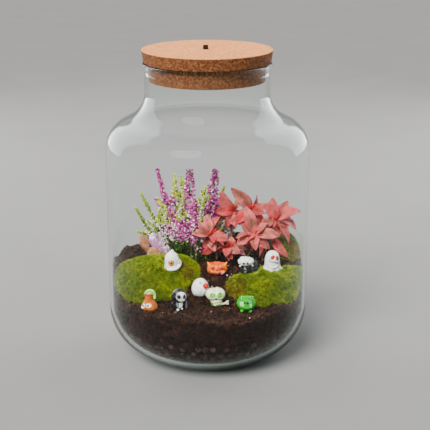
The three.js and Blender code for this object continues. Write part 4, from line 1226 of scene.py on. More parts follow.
def crystal():
    """A cluster of two six-sided points with broken, uneven ends."""
    rng = np.random.default_rng(3)
    heap = Heap()
    turn = leaning(CRYSTAL_LEAN)
    for shift, radius, length, twist in (((0, 0, 0), 6.6, 32, 0.0), ((3.6, -2.6, 0), 4.0, 22, 0.4)):
        corners = []
        for i in range(6):
            angle = math.pi / 3 * i + twist + 0.12 * rng.normal()
            reach = radius * rng.uniform(0.9, 1.02)
            x, y = polar(reach, angle)
            corners.append((x, 0.8 * y, 0))
            corners.append((x, 0.8 * y, length * rng.uniform(0.74, 0.88)))
        corners.append((radius * 0.35, 0.1, length * 0.985))
        corners.append((-radius * 0.3, -0.4, length * 0.99))
        corners.append((-radius * 0.1, radius * 0.3, length * 0.96))
        points, faces = faceted_hull(np.array(corners) + shift)
        heap.add(points @ turn.T + CRYSTAL_FOOT, faces)
    heap.piece("crystal_cut", [crystal_paint()], "lilac_crystal", ["crystal"], smooth=False)


stones()
crystal()

# ---- Heather ----

# Each spray: its kind, its foot on the ground, a bend, its tip and how full it is.
HEATHER = {
    "heather_pink_left": ("pink", (-27, 24), (-40, 34, 136), (-51, 43, 174), 0.95),
    "heather_pink_middle": ("pink", (-18.5, 24), (-18, 29, 134), (-18, 37, 175), 1.3),
    "heather_pink_right": ("pink", (-10, 24), (3, 38, 136), (8, 46, 173), 1.35),
    "heather_pink_low": ("pink", (-25, 16), (-31, 17, 113), (-38, 18, 136), 1.1),
    "heather_pink_front": ("pink", (-14.5, 14.5), (-14, 15, 112), (-11, 17, 127), 1.2),
    "heather_lime_left": ("lime", (-35, 18), (-42, 21, 128), (-49, 24, 148), 0.9),
    "heather_lime_middle": ("lime", (-22, 18), (-27, 22, 132), (-33, 29, 171), 1.1),
    "heather_lime_back": ("lime", (-22, 31), (-24, 41, 134), (-27, 50, 164), 1.0),
    "heather_lime_right": ("lime", (-10, 18), (-6, 22, 132), (-2, 26, 159), 1.3),
    "heather_lime_far": ("lime", (-3, 32), (10, 44, 126), (17, 52, 152), 1.0),
    "heather_white_left": ("pale", (-38, 23), (-53, 28, 124), (-67, 31, 152), 1.0),
    "heather_white_low": ("pale", (-39, 29), (-59, 32, 113), (-73, 31, 137), 1.0),
    "heather_white_front": ("white", (-35, 12.5), (-40, 13, 111), (-50, 12, 130), 1.2),
    "heather_white_far": ("white", (7, 40), (22, 51, 118), (30, 57, 139), 1.0),
    "heather_green_front": ("green", (-27, 11), (-28.5, 9, 100), (-31, 8, 110), 1.0),
    "heather_green_middle": ("green", (-20, 11), (-21, 9, 98), (-23, 7, 110), 1.0),
    "heather_green_right": ("green", (-4, 24), (-1, 23, 100), (1, 23, 112), 1.0),
}

# What each kind of spray carries: where its bells start, how many there are to a whorl and how
# far apart whorls are, how far out they reach, their size, the middle and spread of their
# tone, its side sprigs (how many, how long, and between which shares of the stem), and its
# material slot. Green shoots carry no bells.
KINDS = {
    "pink": dict(
        start=0.30, whorl=9, step=1.4, out=3.5, bell=2.4, tone=(0.52, 0.17),
        sprigs=12, reach=21, along=(0.16, 0.58), slot="pink_bloom",
    ),
    "lime": dict(
        start=0.25, whorl=3, step=1.9, out=1.8, bell=1.7, tone=(0.14, 0.14),
        sprigs=10, reach=17, along=(0.18, 0.55), slot="lime_shoot",
    ),
    "white": dict(
        start=0.30, whorl=6, step=1.7, out=2.0, bell=2.0, tone=(0.18, 0.14),
        sprigs=14, reach=19, along=(0.12, 0.55), slot="white_bloom",
    ),
    "pale": dict(
        start=0.10, whorl=3, step=2.2, out=1.6, bell=1.7, tone=(0.03, 0.05),
        sprigs=12, reach=17, along=(0.08, 0.5), slot="white_bloom",
    ),
    "green": dict(whorl=0, sprigs=12, reach=15, along=(0.1, 0.8), slot="green_shoot"),
}


def bell_paint():
    paint = Paint("heather_bells", Roughness=0.6, Specular_IOR_Level=0.3)
    tint = paint.ramp(
        paint.attribute("tone"),
        (0.0, srgb(250, 248, 226)),
        (0.20, srgb(250, 222, 226)),
        (0.42, srgb(228, 118, 186)),
        (0.68, srgb(186, 56, 142)),
        (1.0, srgb(112, 38, 78)),
    )
    # Painted shade: each bell is darkened to half at its base and inside its mouth, fading out halfway
    # along.
    mouth = paint.ramp(paint.attribute("tip"), (0.0, 0.5), (0.5, 1.0))
    tint = paint.darkened(tint, mouth)
    paint.set("Base Color", tint)
    paint.bump(paint.noise(0.5), 0.08)
    return paint.material


def sprig_paint(name, low, high, tip_color):
    paint = Paint(name, Roughness=0.65, Specular_IOR_Level=0.3)
    tint = paint.mix(paint.attribute("tone"), low, high)
    tint = paint.mix(paint.ramp(paint.attribute("tip"), (0.4, 0.0), (1.0, 0.7)), tint, tip_color)
    patches = paint.ramp(paint.noise(5, 3), (0.35, 0.75), (0.65, 1.1))
    paint.set("Base Color", paint.darkened(tint, patches))
    paint.bump(paint.noise(0.4), 0.08)
    return paint.material


def bell_shape():
    """A hanging bell of pointed petals round a hollow mouth."""
    angles = round_angles(8)
    star = np.where(np.arange(8) % 2 == 0, 1.0, 0.62)
    rings = []
    for height, radius, cut in ((0.0, 0.16, 0), (0.5, 0.42, 0), (1.0, 0.48, 1)):
        size = radius * (1 - cut + cut * star)
        rings.append(ring_at(size, angles, height - 0.16 * cut * (1 - star)))
    points, faces = ring_body(rings)
    points[-1] = (0, 0, 0.62)
    tips = np.concatenate([points[:-1, 2], [0.1]])
    return points, faces, tips


BELL = bell_shape()
NEEDLE = spike_shape(2)


def stem_line(foot, bend, end, count=40):
    x, y = foot
    ground = float(ground_height(x, y))
    bottom = float(soil_height(x, y)) - STEM_BURIED
    return smooth_line([(x, y, bottom), (x, y, ground), (x, y, ground + 4), bend, end], count)


def stem_ways(line):
    return unit(np.gradient(line, axis=0))


def at_share(line, shares):
    spots = np.clip(shares, 0, 1) * (len(line) - 1)
    return np.stack([np.interp(spots, np.arange(len(line)), line[:, axis]) for axis in range(3)], 1)


def put_round(heap, shape, line, shares, rng, out, length, lift, tone, width=1.0, paint=0):
    """Copies of a shape round a stem, each pointing outwards with some lift along the stem."""
    places = at_share(line, shares)
    ways = unit(at_share(stem_ways(line), shares))
    spin = frames_along(ways, rng)[:, :, 0]
    lift = np.broadcast_to(lift, len(shares))
    point = spin * np.cos(lift)[:, None] + ways * np.sin(lift)[:, None]
    places = places + spin * np.broadcast_to(out, len(shares))[:, None]
    length = np.broadcast_to(length, len(shares))
    sizes = np.column_stack([length * width, length * width, length])
    stamp(heap, shape, places, frames_along(point, rng), sizes, np.clip(tone, 0, 1), paint)


def heather_stem(heap, greens, line, kind, rng, full, size=1.0, start=None):
    """One stem with its bells and its small overlapping leaves."""
    own = KINDS[kind]
    main = size > 0.9
    leafy = kind in ("lime", "pale")
    length = float(np.linalg.norm(np.diff(line, axis=0), axis=1).sum())
    greens.add(*tube(line, np.linspace(0.6, 0.25, len(line)) * size, 5), paint=0, tone=0.2, tip=0.0)
    needles = int(length * (7.0 if kind in ("green", "pale") else 4.2))
    shares = rng.uniform(0.12 if main else 0.0, 0.99, needles)
    longest = 3.0 if kind in ("green", "white", "pale") else 2.2
    needle = longest * rng.uniform(0.7, 1.2, needles) * (0.4 + 0.6 * size)
    fade = 1 - 0.45 * smooth_step(0.75, 1.0, shares)
    tone = rng.uniform(0, 1, needles)
    lift = rng.uniform(0.4, 1.15, needles)
    paint = 1 if kind == "lime" and main else 0
    put_round(greens, NEEDLE, line, shares, rng, 0.2, needle * fade, lift, tone, 1.3, paint)
    last = 0.985
    if leafy or (kind == "white" and main):
        tips = int(length * 8)
        shares = rng.uniform(0.42 if leafy else 0.88, 1.0, tips)
        needle, lift = rng.uniform(1.3, 2.2, tips), rng.uniform(0.7, 1.2, tips)
        tone = rng.uniform(0.2, 1, tips)
        put_round(heap, NEEDLE, line, shares, rng, 0.3, needle, lift, tone, 1.9, 1)
        last = 0.70 if leafy else 0.9
    if not own["whorl"]:
        return
    start = own["start"] if start is None else start
    whorls = int(length * max(last - start, 0) / own["step"])
    shares = np.repeat(np.linspace(start, last, max(whorls, 1)), own["whorl"])
    shares = shares + rng.normal(0, 0.45 / length, len(shares))
    taper = 1 - (0.75 if full < 1 else 0.45) * smooth_step(0.45 if full < 1 else 0.75, 1.0, shares)
    tone = rng.normal(*own["tone"], len(shares))
    if kind == "pink":
        tone = tone + 0.22 * smooth_step(0.7, 1.0, shares)
        tone = tone - 0.28 * (1 - smooth_step(start, start + 0.2, shares))
        tone = np.where(rng.uniform(0, 1, len(shares)) < 0.09, 0.14, tone)
    bell = own["bell"] * rng.uniform(0.75, 1.15, len(shares)) * (0.6 + 0.4 * taper) * (0.8 + 0.2 * size)
    out = own["out"] * full * taper * rng.uniform(0.25, 1.0, len(shares)) * size
    put_round(heap, BELL, line, shares, rng, out, bell, rng.uniform(-0.9, 0.6, len(shares)), tone, 0.92)


def side_sprig(line, share, reach, spread, rng):
    """A short stem that leaves another and turns up beside it."""
    spot = at_share(line, np.array([share]))[0]
    along = at_share(stem_ways(line), np.array([share]))[0]
    side = np.cross(along, rng.normal(size=3))
    side /= np.linalg.norm(side)
    side[1] *= 0.7
    bend = spot + (spread * side + 0.45 * along) * reach * 0.5
    end = spot + (spread * side + 0.85 * along) * reach
    out = math.hypot(end[0], end[1])
    if out > PLANT_REACH:
        end[:2] *= PLANT_REACH / out
    return smooth_line([spot, bend, end], 14)


def underbrush(thickets, rng):
    """Short needle-leaved sprigs that fill the foot of the heather."""
    for i in range(UNDERBRUSH):
        out, angle = math.sqrt(rng.uniform(0, 1)), rng.uniform(0, TURN)
        foot = np.array([-15 + 23 * out * math.cos(angle), 21 + 12 * out * math.sin(angle), 0])
        foot[2] = float(soil_height(foot[0], foot[1])) - 1
        rise = rng.uniform(14, 34) * (1.1 - 0.5 * out)
        lean = np.array([math.cos(angle), 0.8 * math.sin(angle), 0]) * rise * rng.uniform(0.15, 0.55)
        line = smooth_line([foot, foot + 0.4 * lean + (0, 0, 0.55 * rise), foot + lean + (0, 0, rise)], 12)
        heather_stem(None, thickets[i % 3], line, "green", rng, 1.0, 0.85)


def heather():
    bells = bell_paint()
    lime = sprig_paint("heather_lime", srgb(128, 158, 18), srgb(196, 212, 36), srgb(226, 234, 84))
    # The needle green runs down to near black, srgb(10, 24, 5): the needles' own dark green, darkened
    # further as painted shade in the heather's thick lower growth.
    green = sprig_paint("heather_green", srgb(10, 24, 5), srgb(42, 76, 15), srgb(90, 128, 36))
    thickets = [Heap() for _ in range(3)]
    for number, (name, (kind, foot, bend, tip, full)) in enumerate(HEATHER.items()):
        rng = np.random.default_rng(100 + number)
        line = stem_line(foot, bend, tip)
        own = KINDS[kind]
        greens = thickets[number % 3]
        heap = Heap() if kind != "green" else greens
        heather_stem(heap, greens, line, kind, rng, full)
        for _ in range(own["sprigs"]):
            share = rng.uniform(*own["along"])
            reach = own["reach"] * rng.uniform(0.6, 1.1)
            sprig = side_sprig(line, share, reach, 0.55, rng)
            heather_stem(heap, greens, sprig, kind, rng, full, 0.72, 0.15)
        if kind == "lime":
            for share in np.linspace(0.62, 0.9, 9):
                sprig = side_sprig(line, share, (3 + 26 * (0.98 - share)) * full, 0.42, rng)
                heather_stem(heap, greens, sprig, kind, rng, full, 0.5, 0.1)
        if kind != "green":
            heap.piece(name + "_bells", [bells, lime], own["slot"], [name])
    underbrush(thickets, np.random.default_rng(99))
    nodes = [name for name, row in HEATHER.items() if row[0] == "green"]
    for node, heap in zip(nodes, thickets):
        heap.piece(node + "_needles", [green, lime], KINDS["green"]["slot"], [node])


heather()

# ---- Pink-leaved shrub ----

# Each shoot: foot, bend, head and leaves, a leaf being its tip, its width and, where it is
# not at the head, the height at which it leaves the stem.
SHRUB = {
    "shrub_shoot_left": ((9, 13), (7, 12, 101), (2, 10, 115), (
        ((-9, 8, 129), 8), ((-1, 14, 135), 9), ((12, 15, 132), 8), ((-15, 4, 119), 8),
        ((21, 3, 111), 10), ((-6, 0, 98), 8, 105), ((7, -3, 102), 8, 107))),
    "shrub_shoot_back": ((22, 31), (24, 33, 112), (26, 34, 132), (
        ((13, 32, 152), 11), ((7, 30, 133), 9), ((10, 38, 121), 9),
        ((37, 38, 145), 9), ((41, 30, 117), 11), ((19, 27, 115), 9))),
    "shrub_shoot_middle": ((34, 21), (40, 21, 116), (43, 20, 138), (
        ((23, 24, 159), 11), ((49, 24, 152), 7), ((65, 18, 143), 9),
        ((57, 17, 122), 9), ((36, 28, 153), 8), ((27, 17, 127), 8))),
    "shrub_shoot_right": ((55, 12), (64, 9, 112), (67, 6, 132), (
        ((64, 9, 153), 12), ((91, 0, 143), 11), ((88, 2, 122), 10), ((80, -3, 110), 9),
        ((52, 12, 127), 9), ((80, 12, 149), 9), ((80, -2, 95), 8, 112))),
    "shrub_shoot_front": ((40, 11), (44, 7, 102), (47, 4, 118), (
        ((37, 8, 145), 11), ((28, 0, 108), 10), ((47, -9, 105), 9), ((62, -1, 104), 9),
        ((71, -6, 119), 10), ((33, 6, 127), 9), ((59, 1, 130), 8))),
    "shrub_shoot_low": ((20, 14), (20, 11, 96), (20, 9, 102), (
        ((32, 2, 98), 9), ((18, -5, 97), 8), ((24, 14, 112), 7))),
}
LEAF_FACING = np.array([0, -0.75, 0.65])


def leaf_paint():
    paint = Paint("pink_leaves", Roughness=0.5, Specular_IOR_Level=0.35)
    tone = paint.attribute("tone")
    pink = paint.ramp(
        tone,
        (0.0, srgb(214, 34, 46)),
        (0.3, srgb(208, 60, 72)),
        (0.6, srgb(214, 92, 98)),
        (1.0, srgb(200, 108, 104)),
    )
    # Dark patches at random, down to 0.42: painted shade among the overlapping leaves.
    patches = paint.ramp(paint.noise(8, 4, 0.6), (0.34, 0.42), (0.6, 1.1))
    pink = paint.darkened(pink, patches)
    tan = paint.ramp(paint.noise(5, 5, 0.65), (0.35, srgb(62, 62, 20)), (0.65, srgb(116, 80, 42)))
    centre = paint.ramp(
        paint.attribute("tip"),
        (0.0, 0.9), (0.12, 0.66), (0.45, 0.48), (0.75, 0.14), (0.9, 0.14), (1.0, 0.75),
    )
    reach = paint.ramp(paint.noise(9, 3, 0.6), (0.36, 0.1), (0.54, 1.0))
    share = paint.times(paint.times(centre, reach), paint.ramp(tone, (0.1, 0.1), (0.45, 1.0)))
    tint = paint.mix(share, pink, tan)
    speckle = paint.ramp(paint.noise(0.9, 3, 0.7), (0.58, 0.0), (0.72, 0.3))
    paint.set("Base Color", paint.mix(speckle, tint, srgb(240, 160, 150)))
    paint.bump(paint.noise(0.9, 4), 0.15)
    return paint.material


def stalk_paint():
    paint = Paint("shrub_stems", Roughness=0.6)
    tint = paint.ramp(
        paint.noise(4, 4, 0.6),
        (0.3, srgb(96, 82, 44)),
        (0.55, srgb(140, 108, 62)),
        (0.75, srgb(170, 96, 78)),
    )
    paint.set("Base Color", tint)
    paint.bump(paint.noise(0.7, 4, stretch=(1, 1, 0.25)), 0.15)
    return paint.material


def leaf(heap, root, tip, width, rng, tone, facing=LEAF_FACING, droop=0.06):
    """A closed, veined, arched and folded blade with a pointed tip."""
    root, tip = np.asarray(root, float), np.asarray(tip, float)
    along = tip - root
    length = np.linalg.norm(along)
    along /= length
    face = facing + rng.normal(0, 0.42, 3)
    face = face - along * face.dot(along)
    face /= np.linalg.norm(face)
    side = np.cross(along, face)
    droop, twist, phase = droop * rng.uniform(0.5, 2.2), rng.normal(0, 0.3), rng.uniform(0, 6)
    sway = length * rng.normal(0, 0.08)
    rings, tips, tones = [], [], []
    spread = np.linspace(-1, 1, LEAF_ACROSS)
    for share in np.linspace(0.0, 1.0, LEAF_STATIONS):
        body = math.sin(math.pi * share**0.82) ** 0.75 if 0 < share < 1 else 0
        half = max(0.58 * width * body, 0.42 * (1 - share))
        wave = 0.5 * np.sin(9 * share + phase + 2 * np.sign(spread)) * spread**2 * body
        veins = np.cos(2 * math.pi * (6.5 * share - 1.1 * np.abs(spread))) * np.abs(spread) ** 0.5 * body
        rib = -0.32 * np.exp(-(spread / 0.14) ** 2) * body
        fold = 0.2 * np.abs(spread) * half
        arch = length * (0.42 * share * (1 - share) - droop * share**3)
        lift = arch + fold + wave + 0.13 * veins + rib
        tilt = twist * share * spread * half
        middle = root + along * share * length + face * (lift + tilt)[:, None]
        middle = middle + side * (spread * half + sway * math.sin(math.pi * share))[:, None]
        thick = LEAF_THICK * (1 - 0.7 * np.abs(spread) ** 3)[:, None] * face / 2
        rings.append(np.concatenate([middle + thick, (middle - thick)[::-1]]))
        tips.append(np.concatenate([np.abs(spread), np.abs(spread)[::-1]]))
        tones.append(tone + 0.12 * np.concatenate([veins, veins[::-1]]))
    points, faces = ring_body(rings)
    heap.add(points, faces, 0, np.concatenate(tones + [[tone, tone]]), np.concatenate(tips + [[0, 0]]))


def lower_leaves(heap, line, count, rng):
    """Smaller leaves in whorls below a shoot's head, which spread and hang."""
    start = rng.uniform(0, 6)
    for i in range(count):
        spot = at_share(line, np.array([rng.uniform(0.68, 0.97)]))[0]
        angle = start + 2.4 * i
        length = rng.uniform(10, 20)
        rise = rng.uniform(-0.6, 0.4)
        end = spot + length * np.array([math.cos(angle), 0.8 * math.sin(angle), rise])
        if math.hypot(end[0], end[1]) < PLANT_REACH and end[2] > float(ground_height(end[0], end[1])) + 2:
            facing = np.array([0.35 * math.cos(angle), -0.3, 1.0])
            leaf(heap, spot, end, 0.4 * length, rng, rng.uniform(0, 1), facing, 0.2)


def shrub():
    leaves, stalks = leaf_paint(), stalk_paint()
    for number, (name, (foot, bend, head, blades)) in enumerate(SHRUB.items()):
        rng = np.random.default_rng(300 + number)
        heap = Heap()
        line = stem_line(foot, bend, head, 60)
        girth = np.linspace(1.0, 0.6, len(line)) + 0.12 * np.sin(np.arange(len(line)) * 0.9)
        heap.add(*tube(line, girth, 10), paint=1)
        for blade in blades:
            tip, width = blade[:2]
            spot = line[-1] if len(blade) == 2 else line[np.argmin(np.abs(line[:, 2] - blade[2]))]
            leaf(heap, spot, tip, width, rng, rng.uniform(0.25, 1))
        for _ in range(5):
            angle = rng.uniform(0, TURN)
            small = rng.uniform(5, 10)
            way = np.array([small * math.cos(angle), -0.5 * small * abs(math.sin(angle)), small * 0.8])
            end = line[-1] + way
            leaf(heap, line[-1] - (0, 0, 0.5), end, rng.uniform(2.4, 4.0), rng, rng.uniform(0, 0.2))
        lower_leaves(heap, line, 15, rng)
        heap.piece(name + "_leafy", [leaves, stalks], "pink_leaf", [name])


shrub()

# ---- Painted figures: each on its own origin, looking along -Y, as in the CAD source ----

SKIN_GRAIN = 0.35
LATHE_SIDES = 64
ROD_STATIONS = 28
ROD_SIDES = 12
PATCH_STATIONS = 17
RAY_START = -60  # in front of every figure
FIGURE_BALL = ico(4)
INKS = {
    "white": (srgb(252, 251, 247), srgb(236, 233, 224), 0.2),
    "cream": (srgb(248, 244, 206), srgb(228, 220, 168), 0.26),
    "orange": (srgb(246, 112, 0), srgb(220, 62, 0), 0.2),
    "amber": (srgb(204, 106, 0), srgb(154, 62, 0), 0.15),
    "ochre": (srgb(226, 146, 12), srgb(178, 94, 4), 0.3),
    "yellow": (srgb(255, 190, 16), srgb(255, 150, 0), 0.22),
    "red": (srgb(214, 4, 4), srgb(176, 0, 2), 0.14),
    "rose": (srgb(150, 0, 16), srgb(120, 0, 10), 0.3),
    "pink": (srgb(252, 150, 184), srgb(240, 110, 150), 0.3),
    "black": (srgb(14, 13, 14), srgb(6, 6, 7), 0.16),
    "slate": (srgb(40, 40, 43), srgb(22, 22, 24), 0.42),
    "grey": (srgb(140, 142, 146), srgb(110, 112, 118), 0.35),
    "green": (srgb(34, 170, 10), srgb(12, 124, 4), 0.16),
    "lime": (srgb(112, 206, 22), srgb(74, 172, 10), 0.28),
    "mint": (srgb(172, 240, 140), srgb(120, 220, 84), 0.2),
}


def ink_paint(name):
    if name + "_resin" in bpy.data.materials:
        return bpy.data.materials[name + "_resin"]
    color, shade, roughness = INKS[name]
    paint = Paint(name + "_resin", Roughness=roughness, Coat_Weight=0.5, Coat_Roughness=0.08)
    wash = paint.noise(3.4, 4, 0.6)
    paint.set("Base Color", paint.ramp(wash, (0.32, shade), (0.6, color)))
    strokes = paint.math("ADD", paint.noise(2.4, 3), paint.math("MULTIPLY", paint.noise(0.7, 2), 0.3))
    paint.bump(strokes, 0.12, 0.6)
    return paint.material


def melt(parts, passes):
    """The points and quads of one smooth skin round overlapping parts."""
    mesh = bpy.data.meshes.new("parts")
    points = np.concatenate(parts.points)
    faces = [face for block in parts.faces for face in block.tolist()]
    mesh.from_pydata(points.tolist(), [], faces)
    made = bpy.data.objects.new("parts", mesh)
    bpy.context.collection.objects.link(made)
    skin = made.modifiers.new("skin", "REMESH")
    skin.mode = "VOXEL"
    skin.voxel_size = SKIN_GRAIN
    soft = made.modifiers.new("soft", "SMOOTH")
    soft.factor = 0.5
    soft.iterations = passes
    melted = bpy.data.meshes.new_from_object(made.evaluated_get(bpy.context.evaluated_depsgraph_get()))
    points, faces = arrays_of(melted)
    for data in (made, mesh, melted):
        bpy.data.batch_remove([data])
    points[:, 2] = np.maximum(points[:, 2], 0)
    return points, faces


class Skin:
    """Parts of one colour that melt together, and what is painted on their front."""

    def __init__(self, figure, ink, passes=5):
        self.figure, self.ink, self.passes = figure, ink, passes
        self.parts = Heap()
        self.tree = None

    def ball(self, x, y, z, width, depth=None, height=None, lean=0.0):
        points, faces = FIGURE_BALL
        points = points * (width, depth or width, height or depth or width)
        self.parts.add(points @ leaning(lean).T + (x, y, z), [faces])

    def lathe(self, outline, squash=1.0, shape=None):
        """A turned part, flattened front to back by squash, then changed by shape."""
        points, faces = turned(outline, LATHE_SIDES)
        points[:, 1] *= squash
        if shape:
            points = shape(points)
        self.parts.add(points, faces)

    def rod(self, line, radii):
        line = smooth_line(line, ROD_STATIONS)
        radii = np.interp(np.linspace(0, 1, ROD_STATIONS), np.linspace(0, 1, len(radii)), radii)
        self.parts.add(*tube(line, radii, ROD_SIDES))

    def done(self):
        points, faces = melt(self.parts, self.passes)
        self.tree = BVHTree.FromPolygons(points.tolist(), faces.tolist())
        self.figure.heap.add(points, [faces], self.figure.ink(self.ink))
        return self

    def front(self, x, z):
        """Where the skin is met from the front, and the way that it faces there."""
        spot, normal, _, _ = self.tree.ray_cast(Vector((x, RAY_START, z)), Vector((0, 1, 0)))
        if spot is None:
            spot, normal, _, _ = self.tree.find_nearest(Vector((x, -9, z)))
        normal = np.array(normal)
        return np.array(spot), normal if normal[1] < 0 else -normal

    def mark(self, ink, low, high, rise=0.3, stations=PATCH_STATIONS):
        """A raised patch between a lower and an upper edge, each a row of (x, z) points."""
        low, high = np.asarray(low, float), np.asarray(high, float)
        along = np.linspace(low[0][0], low[-1][0], stations)
        lows = np.column_stack([along, np.interp(along, low[:, 0], low[:, 1])])
        highs = np.column_stack([along, np.interp(along, high[:, 0], high[:, 1])])
        self.patch(ink, lows, highs, rise)

    def disc(self, ink, x, z, width, height=None, turn=0.0, rise=0.3):
        """A raised oval on the front."""
        u = np.sin(np.linspace(-math.pi / 2, math.pi / 2, PATCH_STATIONS))
        half = np.sqrt(np.maximum(1 - u * u, 0)) * (height or width)
        c, s = math.cos(turn), math.sin(turn)
        rows = []
        for sign in (-1, 1):
            across, up = u * width, sign * half
            rows.append(np.column_stack([x + c * across - s * up, z + s * across + c * up]))
        self.patch(ink, rows[0], rows[1], rise)

    def patch(self, ink, lows, highs, rise):
        """A domed patch that follows the front between two rows of (x, z) points."""
        rings = []
        for i, (low, high) in enumerate(zip(lows, highs)):
            end = 1 - abs(2 * i / (len(lows) - 1) - 1) ** 4
            over, under = [], []
            for share in np.linspace(1, 0, 9):
                spot, normal = self.front(*(low + (high - low) * share))
                soft = (max(1 - (2 * share - 1) ** 4, 0) * end) ** 0.5
                over.append(spot + normal * rise * soft)
                under.append(spot - normal * 0.4)
            rings.append(over + under[::-1])
        points, faces = ring_body(rings)
        self.figure.heap.add(points, faces, self.figure.ink(ink))

    def stroke(self, ink, path, radius=0.22, count=24):
        """A thin raised line on the front through (x, z) points."""
        path = smooth_line([(x, 0, z) for x, z in path], count)
        line = [self.front(x, z)[0] for x, _, z in path]
        from_end = np.minimum(np.linspace(0, 1, count), np.linspace(1, 0, count))
        radii = radius * np.minimum(1, 6 * from_end + 0.35)
        self.figure.heap.add(*tube(line, radii, 8), self.figure.ink(ink))

    def knob(self, ink, x, z, radius, out=0.5, squash=1.0):
        """A ball set into the front."""
        spot, normal = self.front(x, z)
        points, faces = FIGURE_BALL
        points = points * (radius, radius * squash, radius) + spot + normal * radius * (out - 0.5)
        self.figure.heap.add(points, [faces], self.figure.ink(ink))


class Figure:
    """A painted figure: skins and marks gathered in one piece."""

    def __init__(self, name):
        self.name = name
        self.heap = Heap()
        self.inks = []

    def ink(self, name):
        if name not in self.inks:
            self.inks.append(name)
        return self.inks.index(name)

    def skin(self, ink, passes=5):
        return Skin(self, ink, passes)

    def stand(self):
        """Turns the figure, sets it on its place and makes its mesh."""
        (x, y), turn, _, slot = FIGURES[self.name]
        c, s = math.cos(turn), math.sin(turn)
        turning = np.array([[c, s, 0], [-s, c, 0], [0, 0, 1]])
        foot = (x, y, floor_of(self.name))
        self.heap.points = [points @ turning + foot for points in self.heap.points]
        self.heap.piece(self.name + "_painted", [ink_paint(ink) for ink in self.inks], slot, [self.name])


def swirl(x, z, radius, turns):
    """A spiral of (x, z) points, outwards from the middle."""
    return [
        (x + radius * (0.15 + 0.85 * t) * math.cos(turns * 2 * math.pi * t),
         z + radius * (0.15 + 0.85 * t) * math.sin(turns * 2 * math.pi * t))
        for t in np.linspace(0, 1, 14)
    ]


def ghost_one_eye(figure):
    skin = figure.skin("white", 3)

    def crumpled(points):
        out = 1 + 0.035 * noise_at(points, 3.2, 2) + 0.02 * noise_at(points, 1.7, 3)
        points[:, :2] *= out[:, None]
        return points

    skin.lathe([
        (0, 0), (6.9, 0), (7.6, 0.8), (7.5, 2.2), (7.2, 5), (7.0, 8.4),
        (6.8, 11.6), (5.8, 14.2), (4.2, 15.9), (2.6, 17.2), (0, 18),
    ], 1.0, crumpled)
    skin.ball(0.5, -0.2, 18.0, 1.7, 1.6, 1.5)
    hem = [
        (-7.2, -2, 1.5), (-2.8, -6.9, 1.1), (3, -7.2, 1.8),
        (6.9, -4.4, 3.8), (8.1, -1, 6.4), (6.8, 1.4, 9.8),
    ]
    skin.rod(hem, [0.8, 1.2, 1.4, 1.6, 1.5, 0.7])
    skin.rod([(2.2, -3.2, 15.4), (4.9, -4.6, 11.6), (6.9, -4.2, 7.4)], [0.7, 1.1, 1.1])
    skin.rod([(-2.6, -2.8, 15.6), (-5.2, -3.6, 11.6), (-6.4, -3.6, 7.4)], [0.6, 0.9, 0.8])
    skin.done()
    skin.disc("black", -1, 7.8, 2.9, rise=0.3)
    skin.disc("ochre", -1, 7.8, 2.4, rise=0.55)
    skin.stroke("black", swirl(-1, 7.8, 1.6, 1.4), 0.36)
    skin.disc("black", -0.8, 7.7, 1.05, rise=0.8)
    foot = figure.skin("ochre", 3)
    foot.ball(-7.2, -4.4, 1.2, 2.3, 1.8, 1.2)
    foot.ball(-8.4, -4.6, 2.0, 1.0)
    foot.done()


def pumpkin_cat(figure):
    skin = figure.skin("orange", 3)

    def ribbed(points):
        angle = np.arctan2(points[:, 1], points[:, 0]) + math.pi / 2
        lobe = np.abs(np.cos(4.5 * angle))
        out = np.hypot(points[:, 0], points[:, 1]) / 10
        points[:, :2] *= (0.93 + 0.09 * lobe)[:, None]
        points[:, 2] += 1.1 * (lobe - 0.6) * np.clip(out, 0, 1) * (points[:, 2] > 8.5)
        return points

    skin.lathe([
        (0, 0), (4.6, 0), (7.4, 0.7), (9.6, 3), (10.2, 6), (9.6, 8.6),
        (8.2, 10.6), (6.0, 11.4), (3.4, 10.9), (0, 10.4),
    ], 0.86, ribbed)
    for side in (-1, 1):
        ear = [(6.2 * side, 0, 8.6), (8.2 * side, -0.3, 10.8), (9.9 * side, -0.4, 13.2)]
        skin.rod(ear, [2.5, 1.8, 0.45])
    skin.rod([(0, 0.5, 10), (0.2, 0.6, 11.6), (0.7, 0.7, 12.4)], [0.9, 0.8, 0.6])
    skin.done()
    for side in (-1, 1):
        corners = sorted([(2.0 * side, 7.2), (6.3 * side, 8.0)])
        skin.mark("rose", corners, sorted([corners[0], (4.1 * side, 11.0), corners[1]]), 0.75, 15)
        # The yellow strokes along the horns are painted highlights.
        skin.stroke("yellow", [(6.4 * side, 10.2), (8.0 * side, 10.8), (9.4 * side, 12.6)], 0.8)
    skin.mark("rose", [(-1.2, 6.4), (1.2, 6.4)], [(-1.2, 6.4), (0, 8.4), (1.2, 6.4)], 0.7, 9)
    lower = [(-8.2, 5.9), (-6.4, 2.9), (-3.2, 1.6), (0, 1.3), (3.4, 1.6), (6.4, 2.9), (8.2, 5.9)]
    upper = [
        (-8.2, 5.9), (-5.2, 4.8), (-3.2, 4.3), (-1.6, 5.0), (0, 4.3),
        (1.6, 5.0), (3.4, 4.4), (5.4, 5.0), (8.2, 5.9),
    ]
    skin.mark("rose", lower, upper, 0.8, 31)
    skin.stroke("yellow", [(-8.0, 6.5), *[(x, z + 0.5) for x, z in upper[1:-1]], (8.0, 6.5)], 0.4, 40)
    skin.disc("pink", 5.6, 3.9, 2.2, 1.2, 0.5, 1.0)


